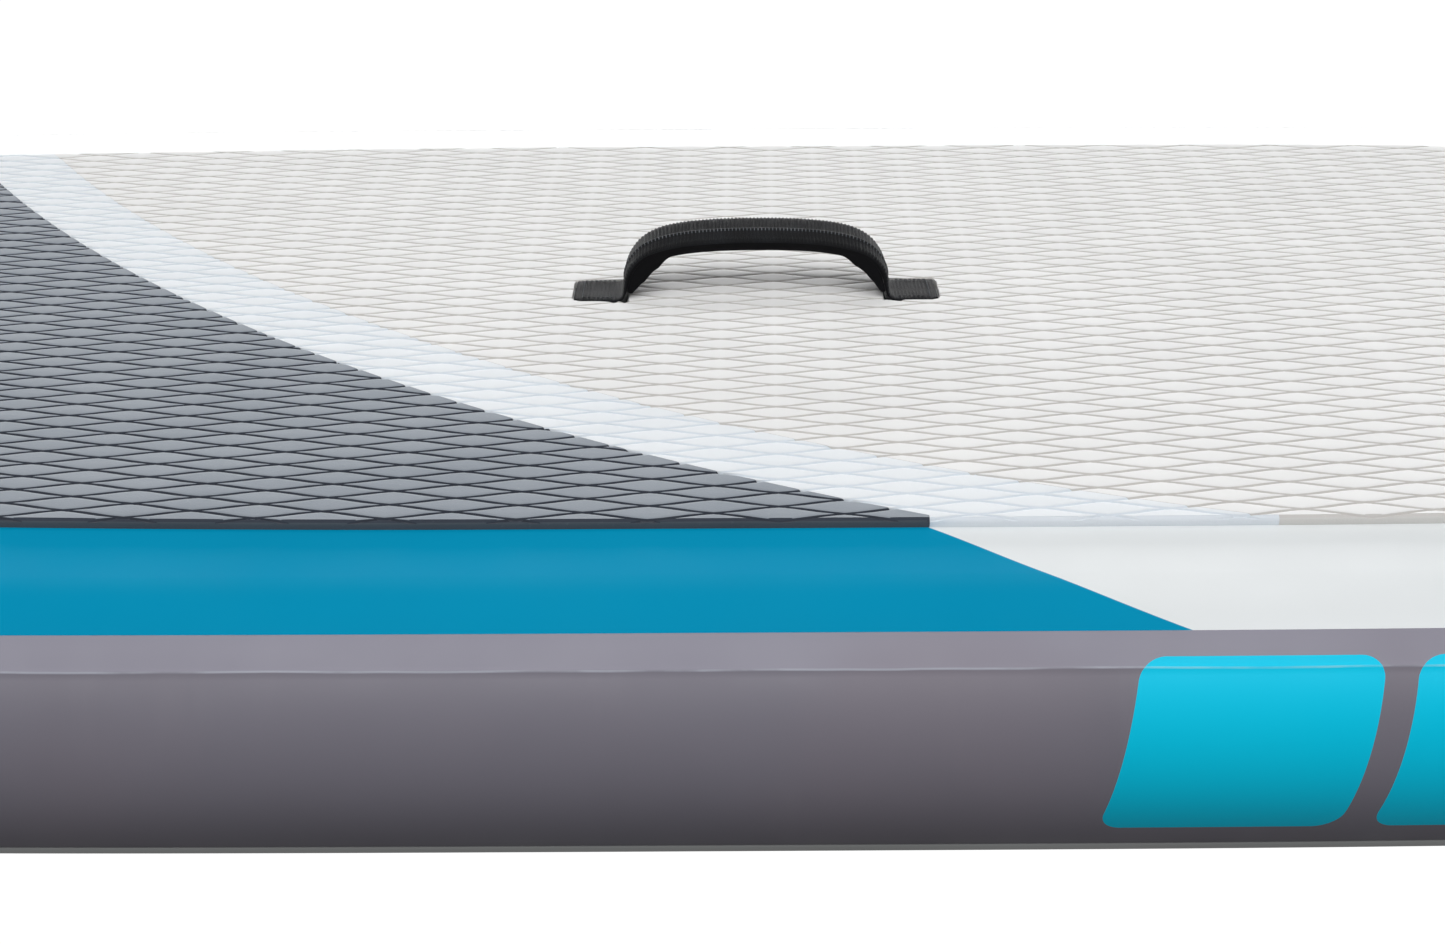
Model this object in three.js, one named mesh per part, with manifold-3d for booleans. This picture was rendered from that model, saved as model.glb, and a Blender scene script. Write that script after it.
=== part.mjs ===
// An inflatable stand up paddleboard, with its deck pad, carry handle, rings, valve and fins.
//
// Millimetres. +X points to the nose, +Y to port, +Z up. The origin is in the middle of the flat
// bottom. The hull is drawn with a flat deck and a flat bottom, and every point is then lifted by
// rise(x), which curves the nose and the tail upwards.

import * as THREE from 'three';
import Module from 'manifold-3d';

const wasm = await Module();
wasm.setup();

// ---------------------------------------------------------------- sizes of the hull

const NOSE_X = 1600;
const TAIL_X = -1600;
const HALF_WIDTH = 419;
const RAIL_CENTRE_Z = 76;
const DECK_Z = 152;
const TAPE_RADIUS = 77.7;                        // outer face of the tape that runs round the rail
const FLAT_HALF_LENGTH = NOSE_X - TAPE_RADIUS;   // the flat part of the deck ends here
const FLAT_HALF_WIDTH = HALF_WIDTH - TAPE_RADIUS;

const CORE_RADIUS = 74.3;
const SKIN_RADII = [74.6, 76];
const TAPE_RADII = [76.3, TAPE_RADIUS];

// ---------------------------------------------------------------- colours

const material = (color, roughness, metalness = 0) =>
  new THREE.MeshStandardMaterial({ color, roughness, metalness });

const whiteSkin = material('#e3e6e6', 0.45);
const blueSkin = material('#1c8fb8', 0.45);
const greyTape = material('#7a7680', 0.5);
const paleTape = material('#d9dcdb', 0.5);
const coreFabric = material('#d8d8d4', 0.9);
const darkFoam = material('#6f7577', 0.85);
const iceFoam = material('#e2e9f0', 0.85);
const lightFoam = material('#dededc', 0.85);
const blackWebbing = material('#1e2124', 0.8);
const blackRubber = material('#17191b', 0.7);
const greyPlastic = material('#8f9599', 0.5);
const blackPlastic = material('#202326', 0.45);
const steel = material('#c4c8ca', 0.25, 1);
const brass = material('#b59a55', 0.35, 1);

// ---------------------------------------------------------------- the outline and the rocker

const FLAT_FROM_X = -900;
const FLAT_TO_X = 620;
const NOSE_RISE = 165;
const TAIL_RISE = 28;

// Places along the boat, nose first. They crowd together at the two ends.
const EVEN_STEPS = 30;
const stationXs = [FLAT_FROM_X, FLAT_TO_X];
for (let i = 0; i <= EVEN_STEPS; i += 1) {
  stationXs.push(FLAT_HALF_LENGTH * Math.cos((Math.PI * i) / EVEN_STEPS));
}
stationXs.sort((a, b) => b - a);
const STATIONS = stationXs.length - 1;

// The edge of the flat deck on the port side at x.
function outlinePoint(x) {
  const lengthPower = x > 0 ? 3.4 : 3.6;
  const widthPower = x > 0 ? 1.8 : 2.2;
  const left = Math.max(0, 1 - Math.abs(x / FLAT_HALF_LENGTH) ** lengthPower);
  return [x, FLAT_HALF_WIDTH * left ** (1 / widthPower)];
}
const portOutline = stationXs.map(outlinePoint);

const LOOP = 2 * STATIONS;
const outline = [];
for (let i = 0; i < LOOP; i += 1) {
  const [x, y] = i <= STATIONS ? portOutline[i] : portOutline[LOOP - i];
  outline.push([x, i <= STATIONS ? y : -y]);
}

// The outward direction at each outline point.
const outward = outline.map((point, i) => {
  const before = outline[(i + LOOP - 1) % LOOP];
  const after = outline[(i + 1) % LOOP];
  const along = [after[0] - before[0], after[1] - before[1]];
  const length = Math.hypot(along[0], along[1]);
  return [along[1] / length, -along[0] / length];
});

function smoothRise(x) {
  if (x > FLAT_TO_X) {
    return NOSE_RISE * ((x - FLAT_TO_X) / (NOSE_X - FLAT_TO_X)) ** 2;
  }
  if (x < FLAT_FROM_X) {
    return TAIL_RISE * ((FLAT_FROM_X - x) / (FLAT_FROM_X - TAIL_X)) ** 2;
  }
  return 0;
}

// The same curve as straight pieces between the stations, so that stacked layers stay parallel.
const knots = [...stationXs, NOSE_X, TAIL_X];
knots.sort((a, b) => a - b);

function rise(x) {
  const kept = Math.min(Math.max(x, TAIL_X), NOSE_X);
  const next = Math.max(1, knots.findIndex((knot) => knot >= kept));
  const share = (kept - knots[next - 1]) / (knots[next] - knots[next - 1]);
  return (1 - share) * smoothRise(knots[next - 1]) + share * smoothRise(knots[next]);
}

// ---------------------------------------------------------------- mesh helpers

function geometryOf(points, triangles) {
  const geometry = new THREE.BufferGeometry();
  geometry.setAttribute('position', new THREE.Float32BufferAttribute(points.flat(), 3));
  const corner = (i) => new THREE.Vector3(...points[i]);
  let volume = 0;
  for (const [a, b, c] of triangles) {
    volume += corner(a).dot(corner(b).cross(corner(c)));
  }
  const facingOut = volume > 0 ? triangles : triangles.map(([a, b, c]) => [a, c, b]);
  geometry.setIndex(facingOut.flat());
  geometry.computeVertexNormals();
  return geometry;
}

// Joins neighbouring rings of points. Each ring is a closed loop unless open is true.
function bands(ringCount, ringSize, { loop = false, open = false } = {}) {
  const triangles = [];
  const lastRing = loop ? ringCount : ringCount - 1;
  const lastPoint = open ? ringSize - 1 : ringSize;
  for (let i = 0; i < lastRing; i += 1) {
    for (let j = 0; j < lastPoint; j += 1) {
      const a = i * ringSize + j;
      const b = i * ringSize + ((j + 1) % ringSize);
      const c = ((i + 1) % ringCount) * ringSize + j;
      const d = ((i + 1) % ringCount) * ringSize + ((j + 1) % ringSize);
      triangles.push([a, c, b], [b, c, d]);
    }
  }
  return triangles;
}

// Joins sides and end caps, turning the caps over where they face against the sides.
function sealed(points, sides, caps) {
  const edges = ([a, b, c]) => [`${a}>${b}`, `${b}>${c}`, `${c}>${a}`];
  const directed = new Set(sides.flatMap(edges));
  const against = caps.some((cap) => edges(cap).some((edge) => directed.has(edge)));
  const turned = against ? caps.map(([a, b, c]) => [a, c, b]) : caps;
  return geometryOf(points, [...sides, ...turned]);
}

// A solid that passes through a list of equal sections. profile is the section drawn flat.
function solidThrough(sections, profile) {
  const size = profile.length;
  const cap = THREE.ShapeUtils.triangulateShape(profile.map(([u, v]) => new THREE.Vector2(u, v)), []);
  const last = (sections.length - 1) * size;
  const caps = cap.flatMap(([a, b, c]) => [[a, b, c], [last + a, last + c, last + b]]);
  return sealed(sections.flat(), bands(sections.length, size), caps);
}

const root = new THREE.Group();

function add(name, geometry, look, parent = root) {
  const mesh = new THREE.Mesh(geometry, look);
  mesh.name = name;
  parent.add(mesh);
  return mesh;
}

// ---------------------------------------------------------------- cutting

function solidOf(geometry) {
  const flat = geometry.index ? geometry : geometry.clone();
  const mesh = new wasm.Mesh({
    numProp: 3,
    vertProperties: new Float32Array(flat.attributes.position.array),
    triVerts: new Uint32Array(flat.index.array),
  });
  mesh.merge();
  return new wasm.Manifold(mesh);
}

function geometryFrom(solid) {
  const mesh = solid.getMesh();
  const geometry = new THREE.BufferGeometry();
  geometry.setAttribute('position', new THREE.Float32BufferAttribute(mesh.vertProperties, 3));
  geometry.setIndex(Array.from(mesh.triVerts));
  geometry.computeVertexNormals();
  return geometry;
}

function cut(geometry, ...tools) {
  let solid = solidOf(geometry);
  for (const tool of tools) {
    solid = solid.subtract(solidOf(tool));
  }
  return geometryFrom(solid);
}

function box(sizeX, sizeY, sizeZ, x, y, z) {
  return new THREE.BoxGeometry(sizeX, sizeY, sizeZ).translate(x, y, z);
}

function cylinder(radius, height, x, y, z, sides = 20) {
  return new THREE.CylinderGeometry(radius, radius, height, sides)
    .rotateX(Math.PI / 2)
    .translate(x, y, z);
}

// ---------------------------------------------------------------- places on the hull

// A group standing on the deck at (x, y), tilted with it, with its X axis turned by heading.
function onDeck(x, y, halfSpan, heading = 0) {
  const holder = new THREE.Group();
  const front = rise(x + halfSpan);
  const back = rise(x - halfSpan);
  holder.position.set(x, y, DECK_Z + (front + back) / 2 + 0.4);
  holder.rotation.order = 'YXZ';
  holder.rotation.y = -Math.atan((front - back) / (2 * halfSpan));
  holder.rotation.z = heading;
  root.add(holder);
  return holder;
}

// The valve stands in a round pit in the deck.
const VALVE_X = 1020;
const PIT_RADIUS = 22.6;
const PIT_DEPTH = 34;
const valve = onDeck(VALVE_X, 0, 36);
valve.updateMatrixWorld();
const pit = cylinder(PIT_RADIUS, 2 * PIT_DEPTH, 0, 0, 0, 32).applyMatrix4(valve.matrixWorld);

// ---------------------------------------------------------------- the hull's layers

// A point on the rail: angle is counted in degrees from straight up.
function railPoint(station, angle, radius) {
  const first = Math.floor(station);
  const share = station - first;
  const at = (index) => {
    const i = ((index % LOOP) + LOOP) % LOOP;
    const [x, y] = outline[i];
    const reach = radius * Math.sin(THREE.MathUtils.degToRad(angle));
    return [x + outward[i][0] * reach, y + outward[i][1] * reach];
  };
  const here = at(first);
  const next = at(first + 1);
  const x = here[0] + share * (next[0] - here[0]);
  const y = here[1] + share * (next[1] - here[1]);
  const riseHere = rise(here[0]) + share * (rise(next[0]) - rise(here[0]));
  return [x, y, RAIL_CENTRE_Z + radius * Math.cos(THREE.MathUtils.degToRad(angle)) + riseHere];
}

// A layer that closes over the deck or the bottom: the profile starts and ends on a flat face.
function wrappedLayer(profile) {
  const size = profile.length;
  const points = [];
  for (let i = 0; i < LOOP; i += 1) {
    for (const [angle, radius] of profile) {
      points.push(railPoint(i, angle, radius));
    }
  }
  const triangles = bands(LOOP, size, { loop: true, open: true });
  const cover = (column, flip) => {
    const at = (i) => (i % LOOP) * size + column;
    const push = (a, b, c) => triangles.push(flip ? [a, c, b] : [a, b, c]);
    push(at(0), at(1), at(LOOP - 1));
    for (let i = 1; i < STATIONS - 1; i += 1) {
      push(at(i), at(i + 1), at(LOOP - i));
      push(at(i + 1), at(LOOP - i - 1), at(LOOP - i));
    }
    push(at(STATIONS - 1), at(STATIONS), at(STATIONS + 1));
  };
  cover(0, true);
  cover(size - 1, false);
  return geometryOf(points, triangles);
}

// A strip of the rail between two angles, from one place on the outline to another.
function railStrip(fromStation, toStation, angles, [inner, outer]) {
  const profile = [
    ...angles.map((angle) => [angle, outer]),
    ...[...angles].reverse().map((angle) => [angle, inner]),
  ];
  const places = [fromStation];
  for (let i = Math.floor(fromStation) + 1; i < toStation; i += 1) {
    places.push(i);
  }
  places.push(toStation);
  const sections = places.map((place) => profile.map(([angle, r]) => railPoint(place, angle, r)));
  const flat = profile.map(([angle, r]) => {
    const turn = THREE.MathUtils.degToRad(angle);
    return [r * Math.sin(turn), r * Math.cos(turn)];
  });
  return solidThrough(sections, flat);
}

const fullSection = [0, 15, 29, 43, 62, 80, 98, 117, 137, 151, 165, 180];
const core = wrappedLayer(fullSection.map((angle) => [angle, CORE_RADIUS]));
add('drop_stitch_core', cut(core, pit), coreFabric);

const [skinInner, skinOuter] = SKIN_RADII;
const skinSection = (angles) => [
  ...angles.map((angle) => [angle, skinInner]),
  ...[...angles].reverse().map((angle) => [angle, skinOuter]),
];
add('deck_skin', cut(wrappedLayer(skinSection([0, 15, 29, 42.8])), pit), blueSkin);
add('bottom_skin', wrappedLayer(skinSection([180, 165, 151, 137.2])), whiteSkin);

// The side walls and the tapes butt together at the nose and tail; half a gap is left each side.
const BUTT = 0.004;
const wallAngles = [43.2, 62, 80, 98, 117, 136.8];
add('port_sidewall', railStrip(BUTT, STATIONS - BUTT, wallAngles, SKIN_RADII), whiteSkin);
add('starboard_sidewall', railStrip(STATIONS + BUTT, LOOP - BUTT, wallAngles, SKIN_RADII), whiteSkin);

const NOSE_PATCH = 3;
const TAIL_PATCH = 3;
const tapeAngles = [29, 43, 62, 80, 98, 116.8];
const tape = (from, to) => railStrip(from, to, tapeAngles, TAPE_RADII);
add('port_rail_tape', tape(NOSE_PATCH + BUTT, STATIONS - TAIL_PATCH - BUTT), greyTape);
add('starboard_rail_tape', tape(STATIONS + TAIL_PATCH + BUTT, LOOP - NOSE_PATCH - BUTT), greyTape);
add('tail_rail_patch', tape(STATIONS - TAIL_PATCH + BUTT, STATIONS + TAIL_PATCH - BUTT), greyTape);
add('nose_rail_patch', tape(LOOP - NOSE_PATCH + BUTT, LOOP + NOSE_PATCH - BUTT), greyTape);

const seamAngles = [117.2, 137, 151];
const seam = (from, to) => railStrip(from, to, seamAngles, TAPE_RADII);
add('port_bottom_tape', seam(BUTT, STATIONS - BUTT), paleTape);
add('starboard_bottom_tape', seam(STATIONS + BUTT, LOOP - BUTT), paleTape);

// ---------------------------------------------------------------- the deck pad

const PAD_THICKNESS = 5;
const PAD_BOTTOM_Z = DECK_Z + 0.3;
const PAD_TOP_Z = DECK_Z + PAD_THICKNESS;
const PAD_EDGE_GAP = 0.3;
const PAD_INSET = 44;
const PAD_TAIL_X = -1405;
const PAD_NOSE_X = 760;
const PAD_NOSE_ROUND = 260;

// Half the width of the flat deck at x.
function deckHalfWidth(x) {
  const i = Math.max(1, portOutline.findIndex(([stationX]) => stationX <= x));
  const [x0, y0] = portOutline[i - 1];
  const [x1, y1] = portOutline[i];
  return y0 + ((x - x0) / (x1 - x0)) * (y1 - y0);
}

// Half the width of the pad at x: it follows the outline and rounds off at its nose end.
function padHalfWidth(x) {
  const besideRail = deckHalfWidth(x) - PAD_INSET;
  const intoRound = Math.max(0, x - (PAD_NOSE_X - PAD_NOSE_ROUND)) / PAD_NOSE_ROUND;
  return besideRail * Math.sqrt(Math.max(0.04, 1 - 0.96 * intoRound ** 3));
}

// The two colour joints of the pad are arcs that sweep from the port tail quarter to starboard.
const darkJoint = { x: 626, y: 1118.5, radius: 1512 };
const lightJoint = { x: 614.5, y: 1089.5, radius: 1429.5 };
function jointY(arc, x) {
  return arc.y - Math.sqrt(Math.max(0, arc.radius ** 2 - (x - arc.x) ** 2));
}

// Where the arc meets the pad's edge on one side: 1 for port, -1 for starboard.
function jointX(arc, side) {
  let low = -900;
  let high = 400;
  for (let step = 0; step < 50; step += 1) {
    const middle = (low + high) / 2;
    const ahead = jointY(arc, middle) < side * padHalfWidth(middle);
    low = ahead ? low : middle;
    high = ahead ? middle : high;
  }
  return (low + high) / 2;
}

// A flat sheet lying on the deck, between a starboard edge and a port edge.
function deckSheet(fromX, toX, starboardEdge, portEdge, bottomZ, topZ, extraX = []) {
  const inside = (x) => x > fromX + 2 && x < toX - 2;
  const xs = [fromX, ...new Set([...knots, ...extraX].filter(inside)), toX].sort((a, b) => a - b);
  const spaced = xs.filter((x, i) => i === 0 || x - xs[i - 1] > 0.5);
  const sections = spaced.map((x) => {
    const low = starboardEdge(x);
    const high = Math.max(portEdge(x), low + 0.5);
    const lift = rise(x);
    return [
      [x, low, bottomZ + lift], [x, high, bottomZ + lift],
      [x, high, topZ + lift], [x, low, topZ + lift],
    ];
  });
  return solidThrough(sections, [[0, 0], [1, 0], [1, 1], [0, 1]]);
}

const darkPort = jointX(darkJoint, 1);
const darkStarboard = jointX(darkJoint, -1);
const lightPort = jointX(lightJoint, 1);
const lightStarboard = jointX(lightJoint, -1);
const steps = (from, to, count) =>
  Array.from({ length: count + 1 }, (_, i) => from + ((to - from) * i) / count);
const jointSteps = steps(darkPort, lightStarboard, 22);
const noseSteps = [...steps(PAD_NOSE_X - PAD_NOSE_ROUND, PAD_NOSE_X, 8)];
// A pad joint runs at a slope, so its half gap is measured along the boat a little wider.
const JOINT_GAP = 0.45;

const portPad = (x) => padHalfWidth(x);
const starboardPad = (x) => -padHalfWidth(x);

const tailPad = deckSheet(
  PAD_TAIL_X,
  darkStarboard - 2,
  starboardPad,
  (x) => Math.min(portPad(x), jointY(darkJoint, x) - JOINT_GAP),
  PAD_BOTTOM_Z,
  PAD_TOP_Z,
  [...jointSteps, darkPort, -1390, -1360, -1320],
);

const stripePad = deckSheet(
  darkPort + 2,
  lightStarboard - 2,
  (x) => Math.max(starboardPad(x), jointY(darkJoint, x) + JOINT_GAP),
  (x) => Math.min(portPad(x), jointY(lightJoint, x) - JOINT_GAP),
  PAD_BOTTOM_Z,
  PAD_TOP_Z,
  [...jointSteps, darkStarboard, lightPort],
);

const wholeNosePad = deckSheet(
  lightPort + 2,
  PAD_NOSE_X,
  (x) => Math.max(starboardPad(x), jointY(lightJoint, x) + JOINT_GAP),
  portPad,
  PAD_BOTTOM_Z,
  PAD_TOP_Z,
  [...jointSteps, lightStarboard, ...noseSteps],
);

// ---------------------------------------------------------------- the carry handle

const STRAP_WIDTH = 35;
const TAB_THICKNESS = 2.4;
const TAB_OUTER_X = 122;
const TAB_INNER_X = 92;
const WINDOW_WIDTH = STRAP_WIDTH + 4;
const WINDOW_OUTER_X = TAB_OUTER_X + 2;
const WINDOW_INNER_X = 74;

const windows = [-1, 1].map((side) => {
  const middle = (side * (WINDOW_OUTER_X + WINDOW_INNER_X)) / 2;
  return box(WINDOW_OUTER_X - WINDOW_INNER_X, WINDOW_WIDTH, 20, middle, 0, DECK_Z + 2);
});

add('tail_pad', tailPad, darkFoam);
add('stripe_pad', stripePad, iceFoam);
add('nose_pad', cut(wholeNosePad, ...windows), lightFoam);

// The arch of the handle, as the middle line of its webbing in the XZ plane.
const ARCH_BASE_Z = DECK_Z + 5.2;
const archHalf = [
  [85.5, 0], [84.7, 9], [81.5, 20], [74.5, 29], [63.5, 35.8], [48, 40], [30, 42.4], [12, 43.4],
];
const arch = [
  ...archHalf.map(([x, z]) => [-x, z + ARCH_BASE_Z]),
  ...[...archHalf].reverse().map(([x, z]) => [x, z + ARCH_BASE_Z]),
];

// Sweeps a section along part of the arch: u runs across the strap and v outwards from the arch.
function alongArch(from, to, section) {
  const sections = [];
  for (let i = from; i <= to; i += 1) {
    const before = arch[Math.max(0, i - 1)];
    const after = arch[Math.min(arch.length - 1, i + 1)];
    const length = Math.hypot(after[0] - before[0], after[1] - before[1]);
    const out = [-(after[1] - before[1]) / length, (after[0] - before[0]) / length];
    sections.push(section.map(([u, v]) => [arch[i][0] + out[0] * v, u, arch[i][1] + out[1] * v]));
  }
  return solidThrough(sections, section);
}

// The webbing is folded a little way down over both sides of the padding, and has a raised seam.
const LIP = 1.6;
const FOLD = 1.8;
const WEBBING = 3;
const SEAM_Y = 0;
const half = STRAP_WIDTH / 2;
const foldedStrap = [
  [-half, -LIP], [-half, 1], [-half + 2.5, WEBBING], [SEAM_Y - 1.5, WEBBING],
  [SEAM_Y, WEBBING + 0.8], [SEAM_Y + 1.5, WEBBING], [half - 2.5, WEBBING], [half, 1],
  [half, -LIP], [half - FOLD, -LIP], [half - FOLD, -0.2], [-half + FOLD, -0.2],
  [-half + FOLD, -LIP],
];
// Below this height the legs are rounded off, so that the handle can lean over either way.
const LEAN_Z = 172;
const LEG_RADIUS = 15.4;
const leanRoom = solidOf(box(400, 100, 100, 0, 0, LEAN_Z + 50)).add(
  solidOf(new THREE.CylinderGeometry(LEG_RADIUS, LEG_RADIUS, 400, 32)
    .rotateZ(Math.PI / 2)
    .translate(0, 0, LEAN_Z)),
);
const withLeanRoom = (geometry) => geometryFrom(solidOf(geometry).intersect(leanRoom));
const strap = alongArch(0, arch.length - 1, foldedStrap);
add('handle_strap', withLeanRoom(strap), blackWebbing);

// The padding fits between the folds and widens to the edge of the webbing below them.
const paddingTop = half - FOLD - 0.3;
const paddingHalf = half - 0.3;
const padding = [
  [-paddingTop, -0.5], [paddingTop, -0.5], [paddingTop, -LIP - 0.3], [paddingHalf, -LIP - 0.3],
  [paddingHalf, -7.2], [paddingHalf - 1.4, -8.4], [-paddingHalf + 1.4, -8.4],
  [-paddingHalf, -7.2], [-paddingHalf, -LIP - 0.3], [-paddingTop, -LIP - 0.3],
];
const paddingBody = alongArch(1, arch.length - 2, padding);
add('handle_padding', withLeanRoom(paddingBody), blackRubber);

// A base patch is bonded to the deck under each end, and the webbing's tab is sewn to it.
for (const [word, side] of [['tail', -1], ['nose', 1]]) {
  const patchMiddle = (side * (WINDOW_OUTER_X + WINDOW_INNER_X)) / 2;
  const patchLength = WINDOW_OUTER_X - WINDOW_INNER_X - 1.4;
  add(
    `handle_${word}_patch`,
    box(patchLength, WINDOW_WIDTH - 1.4, 1.2, patchMiddle, 0, DECK_Z + 0.9),
    blackRubber,
  );
  const corner = 5;
  const tab = new THREE.Shape([
    new THREE.Vector2(TAB_INNER_X - 12, -half),
    new THREE.Vector2(TAB_OUTER_X - corner, -half),
    new THREE.Vector2(TAB_OUTER_X, -half + corner),
    new THREE.Vector2(TAB_OUTER_X, half - corner),
    new THREE.Vector2(TAB_OUTER_X - corner, half),
    new THREE.Vector2(TAB_INNER_X - 12, half),
  ]);
  const tabGeometry = new THREE.ExtrudeGeometry(tab, { depth: TAB_THICKNESS, bevelEnabled: false });
  const holder = new THREE.Group();
  holder.position.z = DECK_Z + 1.8;
  holder.rotation.z = side > 0 ? 0 : Math.PI;
  root.add(holder);
  add(`handle_${word}_tab`, tabGeometry, blackWebbing, holder);
}

// ---------------------------------------------------------------- rings on webbing loops

const RING_WIRE = 2.5;          // half the thickness of the bent rod
const RING_HALF_WIDTH = 17;
const RING_REACH = 24;
const LOOP_HALF_WIDTH = 11;
const BAR_Z = 6;                // height of the straight bar above the patch's underside

// A D-shaped ring in the XY plane: its straight bar lies along Y through the origin.
function ringGeometry() {
  const corner = [];
  corner.push([0, -RING_HALF_WIDTH]);
  for (let i = 0; i <= 6; i += 1) {
    const turn = -Math.PI / 2 + (Math.PI * i) / 6;
    corner.push([
      8 + (RING_REACH - 8) * Math.cos(turn),
      RING_HALF_WIDTH * Math.sin(turn),
    ]);
  }
  corner.push([0, RING_HALF_WIDTH]);
  const path = corner.map(([x, y]) => new THREE.Vector3(x, y, 0));
  const sides = 8;
  const points = [];
  path.forEach((point, i) => {
    const before = path[(i + path.length - 1) % path.length];
    const after = path[(i + 1) % path.length];
    const come = point.clone().sub(before).normalize();
    const leave = after.clone().sub(point).normalize();
    const along = come.add(leave).normalize();
    const across = new THREE.Vector3(along.y, -along.x, 0);
    for (let j = 0; j < sides; j += 1) {
      const turn = (2 * Math.PI * j) / sides;
      points.push([
        point.x + across.x * RING_WIRE * Math.cos(turn),
        point.y + across.y * RING_WIRE * Math.cos(turn),
        RING_WIRE * Math.sin(turn),
      ]);
    }
  });
  return geometryOf(points, bands(path.length, sides, { loop: true }));
}

// A webbing loop round the bar, with a hole for it, welded flat to the patch behind it.
function loopGeometry() {
  const outerRadius = 4.6;
  const holeRadius = RING_WIRE + 0.5;
  const shape = new THREE.Shape();
  shape.moveTo(-20, 1.5 - BAR_Z);
  shape.lineTo(-20, 3.4 - BAR_Z);
  shape.lineTo(-7, 3.4 - BAR_Z);
  for (let i = 0; i <= 7; i += 1) {
    const turn = THREE.MathUtils.degToRad(150 - 25 * i);
    shape.lineTo(outerRadius * Math.cos(turn), Math.max(1.5 - BAR_Z, outerRadius * Math.sin(turn)));
  }
  shape.lineTo(2, 1.5 - BAR_Z);
  const hole = [];
  for (let i = 0; i < 12; i += 1) {
    const turn = (2 * Math.PI * i) / 12;
    hole.push(new THREE.Vector2(holeRadius * Math.cos(turn), holeRadius * Math.sin(turn)));
  }
  shape.holes.push(new THREE.Path(hole));
  const options = { depth: 2 * LOOP_HALF_WIDTH, bevelEnabled: false };
  const geometry = new THREE.ExtrudeGeometry(shape, options);
  return geometry.rotateX(Math.PI / 2).translate(0, LOOP_HALF_WIDTH, 0);
}

const PATCH_RADIUS = 34;
function tieRing(name, x, y, heading) {
  const holder = onDeck(x, y, PATCH_RADIUS, heading);
  add(`${name}_patch`, cylinder(PATCH_RADIUS, 1.1, 0, 0, 0.55, 24), greyPlastic, holder);
  const loop = add(`${name}_loop`, loopGeometry(), blackWebbing, holder);
  loop.position.z = BAR_Z;
  const ring = add(`${name}_ring`, ringGeometry(), steel, holder);
  ring.position.z = BAR_Z;
}

tieRing('cargo_front_port', 1180, 120, 0);
tieRing('cargo_front_starboard', 1180, -120, 0);
tieRing('cargo_rear_port', 850, 205, Math.PI);
tieRing('cargo_rear_starboard', 850, -205, Math.PI);
tieRing('tow', 1400, 0, 0);
tieRing('leash', -1470, 0, Math.PI);

// ---------------------------------------------------------------- the inflation valve

const lathe = (profile, sides = 32) =>
  new THREE.LatheGeometry(profile.map(([r, z]) => new THREE.Vector2(r, z)), sides)
    .rotateX(Math.PI / 2);

// A ring of square section, as a closed profile.
const collar = (inner, outer, bottom, top) =>
  lathe([[inner, bottom], [outer, bottom], [outer, top], [inner, top], [inner, bottom]]);

// A cup with a flange on the deck. Its floor guides the stem and has holes for the air.
const cup = lathe([
  [3.4, -20], [22, -20], [22, 0], [31, 0], [31, 2], [28.5, 3.4], [19, 3.4], [19, -17], [3.4, -17],
  [3.4, -20],
]);
const airHoles = [0, 1, 2, 3, 4, 5].map((i) => {
  const turn = (Math.PI * i) / 3;
  return cylinder(2.6, 10, 11 * Math.cos(turn), 11 * Math.sin(turn), -18.5, 10);
});
add('valve_body', cut(cup, ...airHoles), greyPlastic, valve);
add('valve_seal', collar(19.4, 22.4, 3.6, 4.4), blackRubber, valve);

// The stem carries the valve disc below the floor and a push button above it.
const stem = lathe([
  [0, -22.8], [17, -22.8], [17, -20.4], [3, -20.4], [3, -6], [6.5, -6], [6.5, -3.5], [0, -3.5],
]);
add('valve_stem', stem, blackPlastic, valve);

const capPlate = lathe([
  [0, 4.7], [16.4, 4.7], [16.4, -1.5], [18.4, -1.5], [18.4, 4.7], [24, 4.7], [24, 6.6],
  [23, 7.6], [0, 7.6],
]);
const capLug = box(8, 10, 1.9, -26.6, 0, 5.65);
add('valve_cap', geometryFrom(solidOf(capPlate).add(solidOf(capLug))), greyPlastic, valve);

// A soft ring round the flange holds the cap, which turns over on the ring's lug.
const tetherRing = collar(31.4, 34, 0.2, 2.2);
const tetherLug = box(6, 12, 3.4, -34.6, 0, 1.9);
const tether = solidOf(tetherRing).add(solidOf(tetherLug)).subtract(
  solidOf(cylinder(31.4, 10, 0, 0, 2, 32)),
);
add('valve_tether', geometryFrom(tether), greyPlastic, valve);

// ---------------------------------------------------------------- the fins

// A group hanging under the bottom at x: its Z axis points up into the hull.
function underHull(x) {
  const holder = new THREE.Group();
  const next = knots.findIndex((knot) => knot > x);
  const slope = (rise(knots[next]) - rise(knots[next - 1])) / (knots[next] - knots[next - 1]);
  holder.position.set(x, 0, rise(x) - 0.4);
  holder.rotation.y = -Math.atan(slope);
  root.add(holder);
  return holder;
}

const FIN_X = -1190;
const SLOT_HALF_WIDTH = 4.6;
const BOX_HALF_LENGTH = 125;
const BOX_TOP = -1.6;
const BOX_BOTTOM = -27;
const finMount = underHull(FIN_X);

const basePlate = new THREE.Shape();
basePlate.absellipse(0, 0, 165, 62, 0, 2 * Math.PI);
add(
  'fin_base_pad',
  new THREE.ExtrudeGeometry(basePlate, { depth: 1.2, bevelEnabled: false, curveSegments: 14 })
    .translate(0, 0, -1.2),
  greyPlastic,
  finMount,
);

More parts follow.
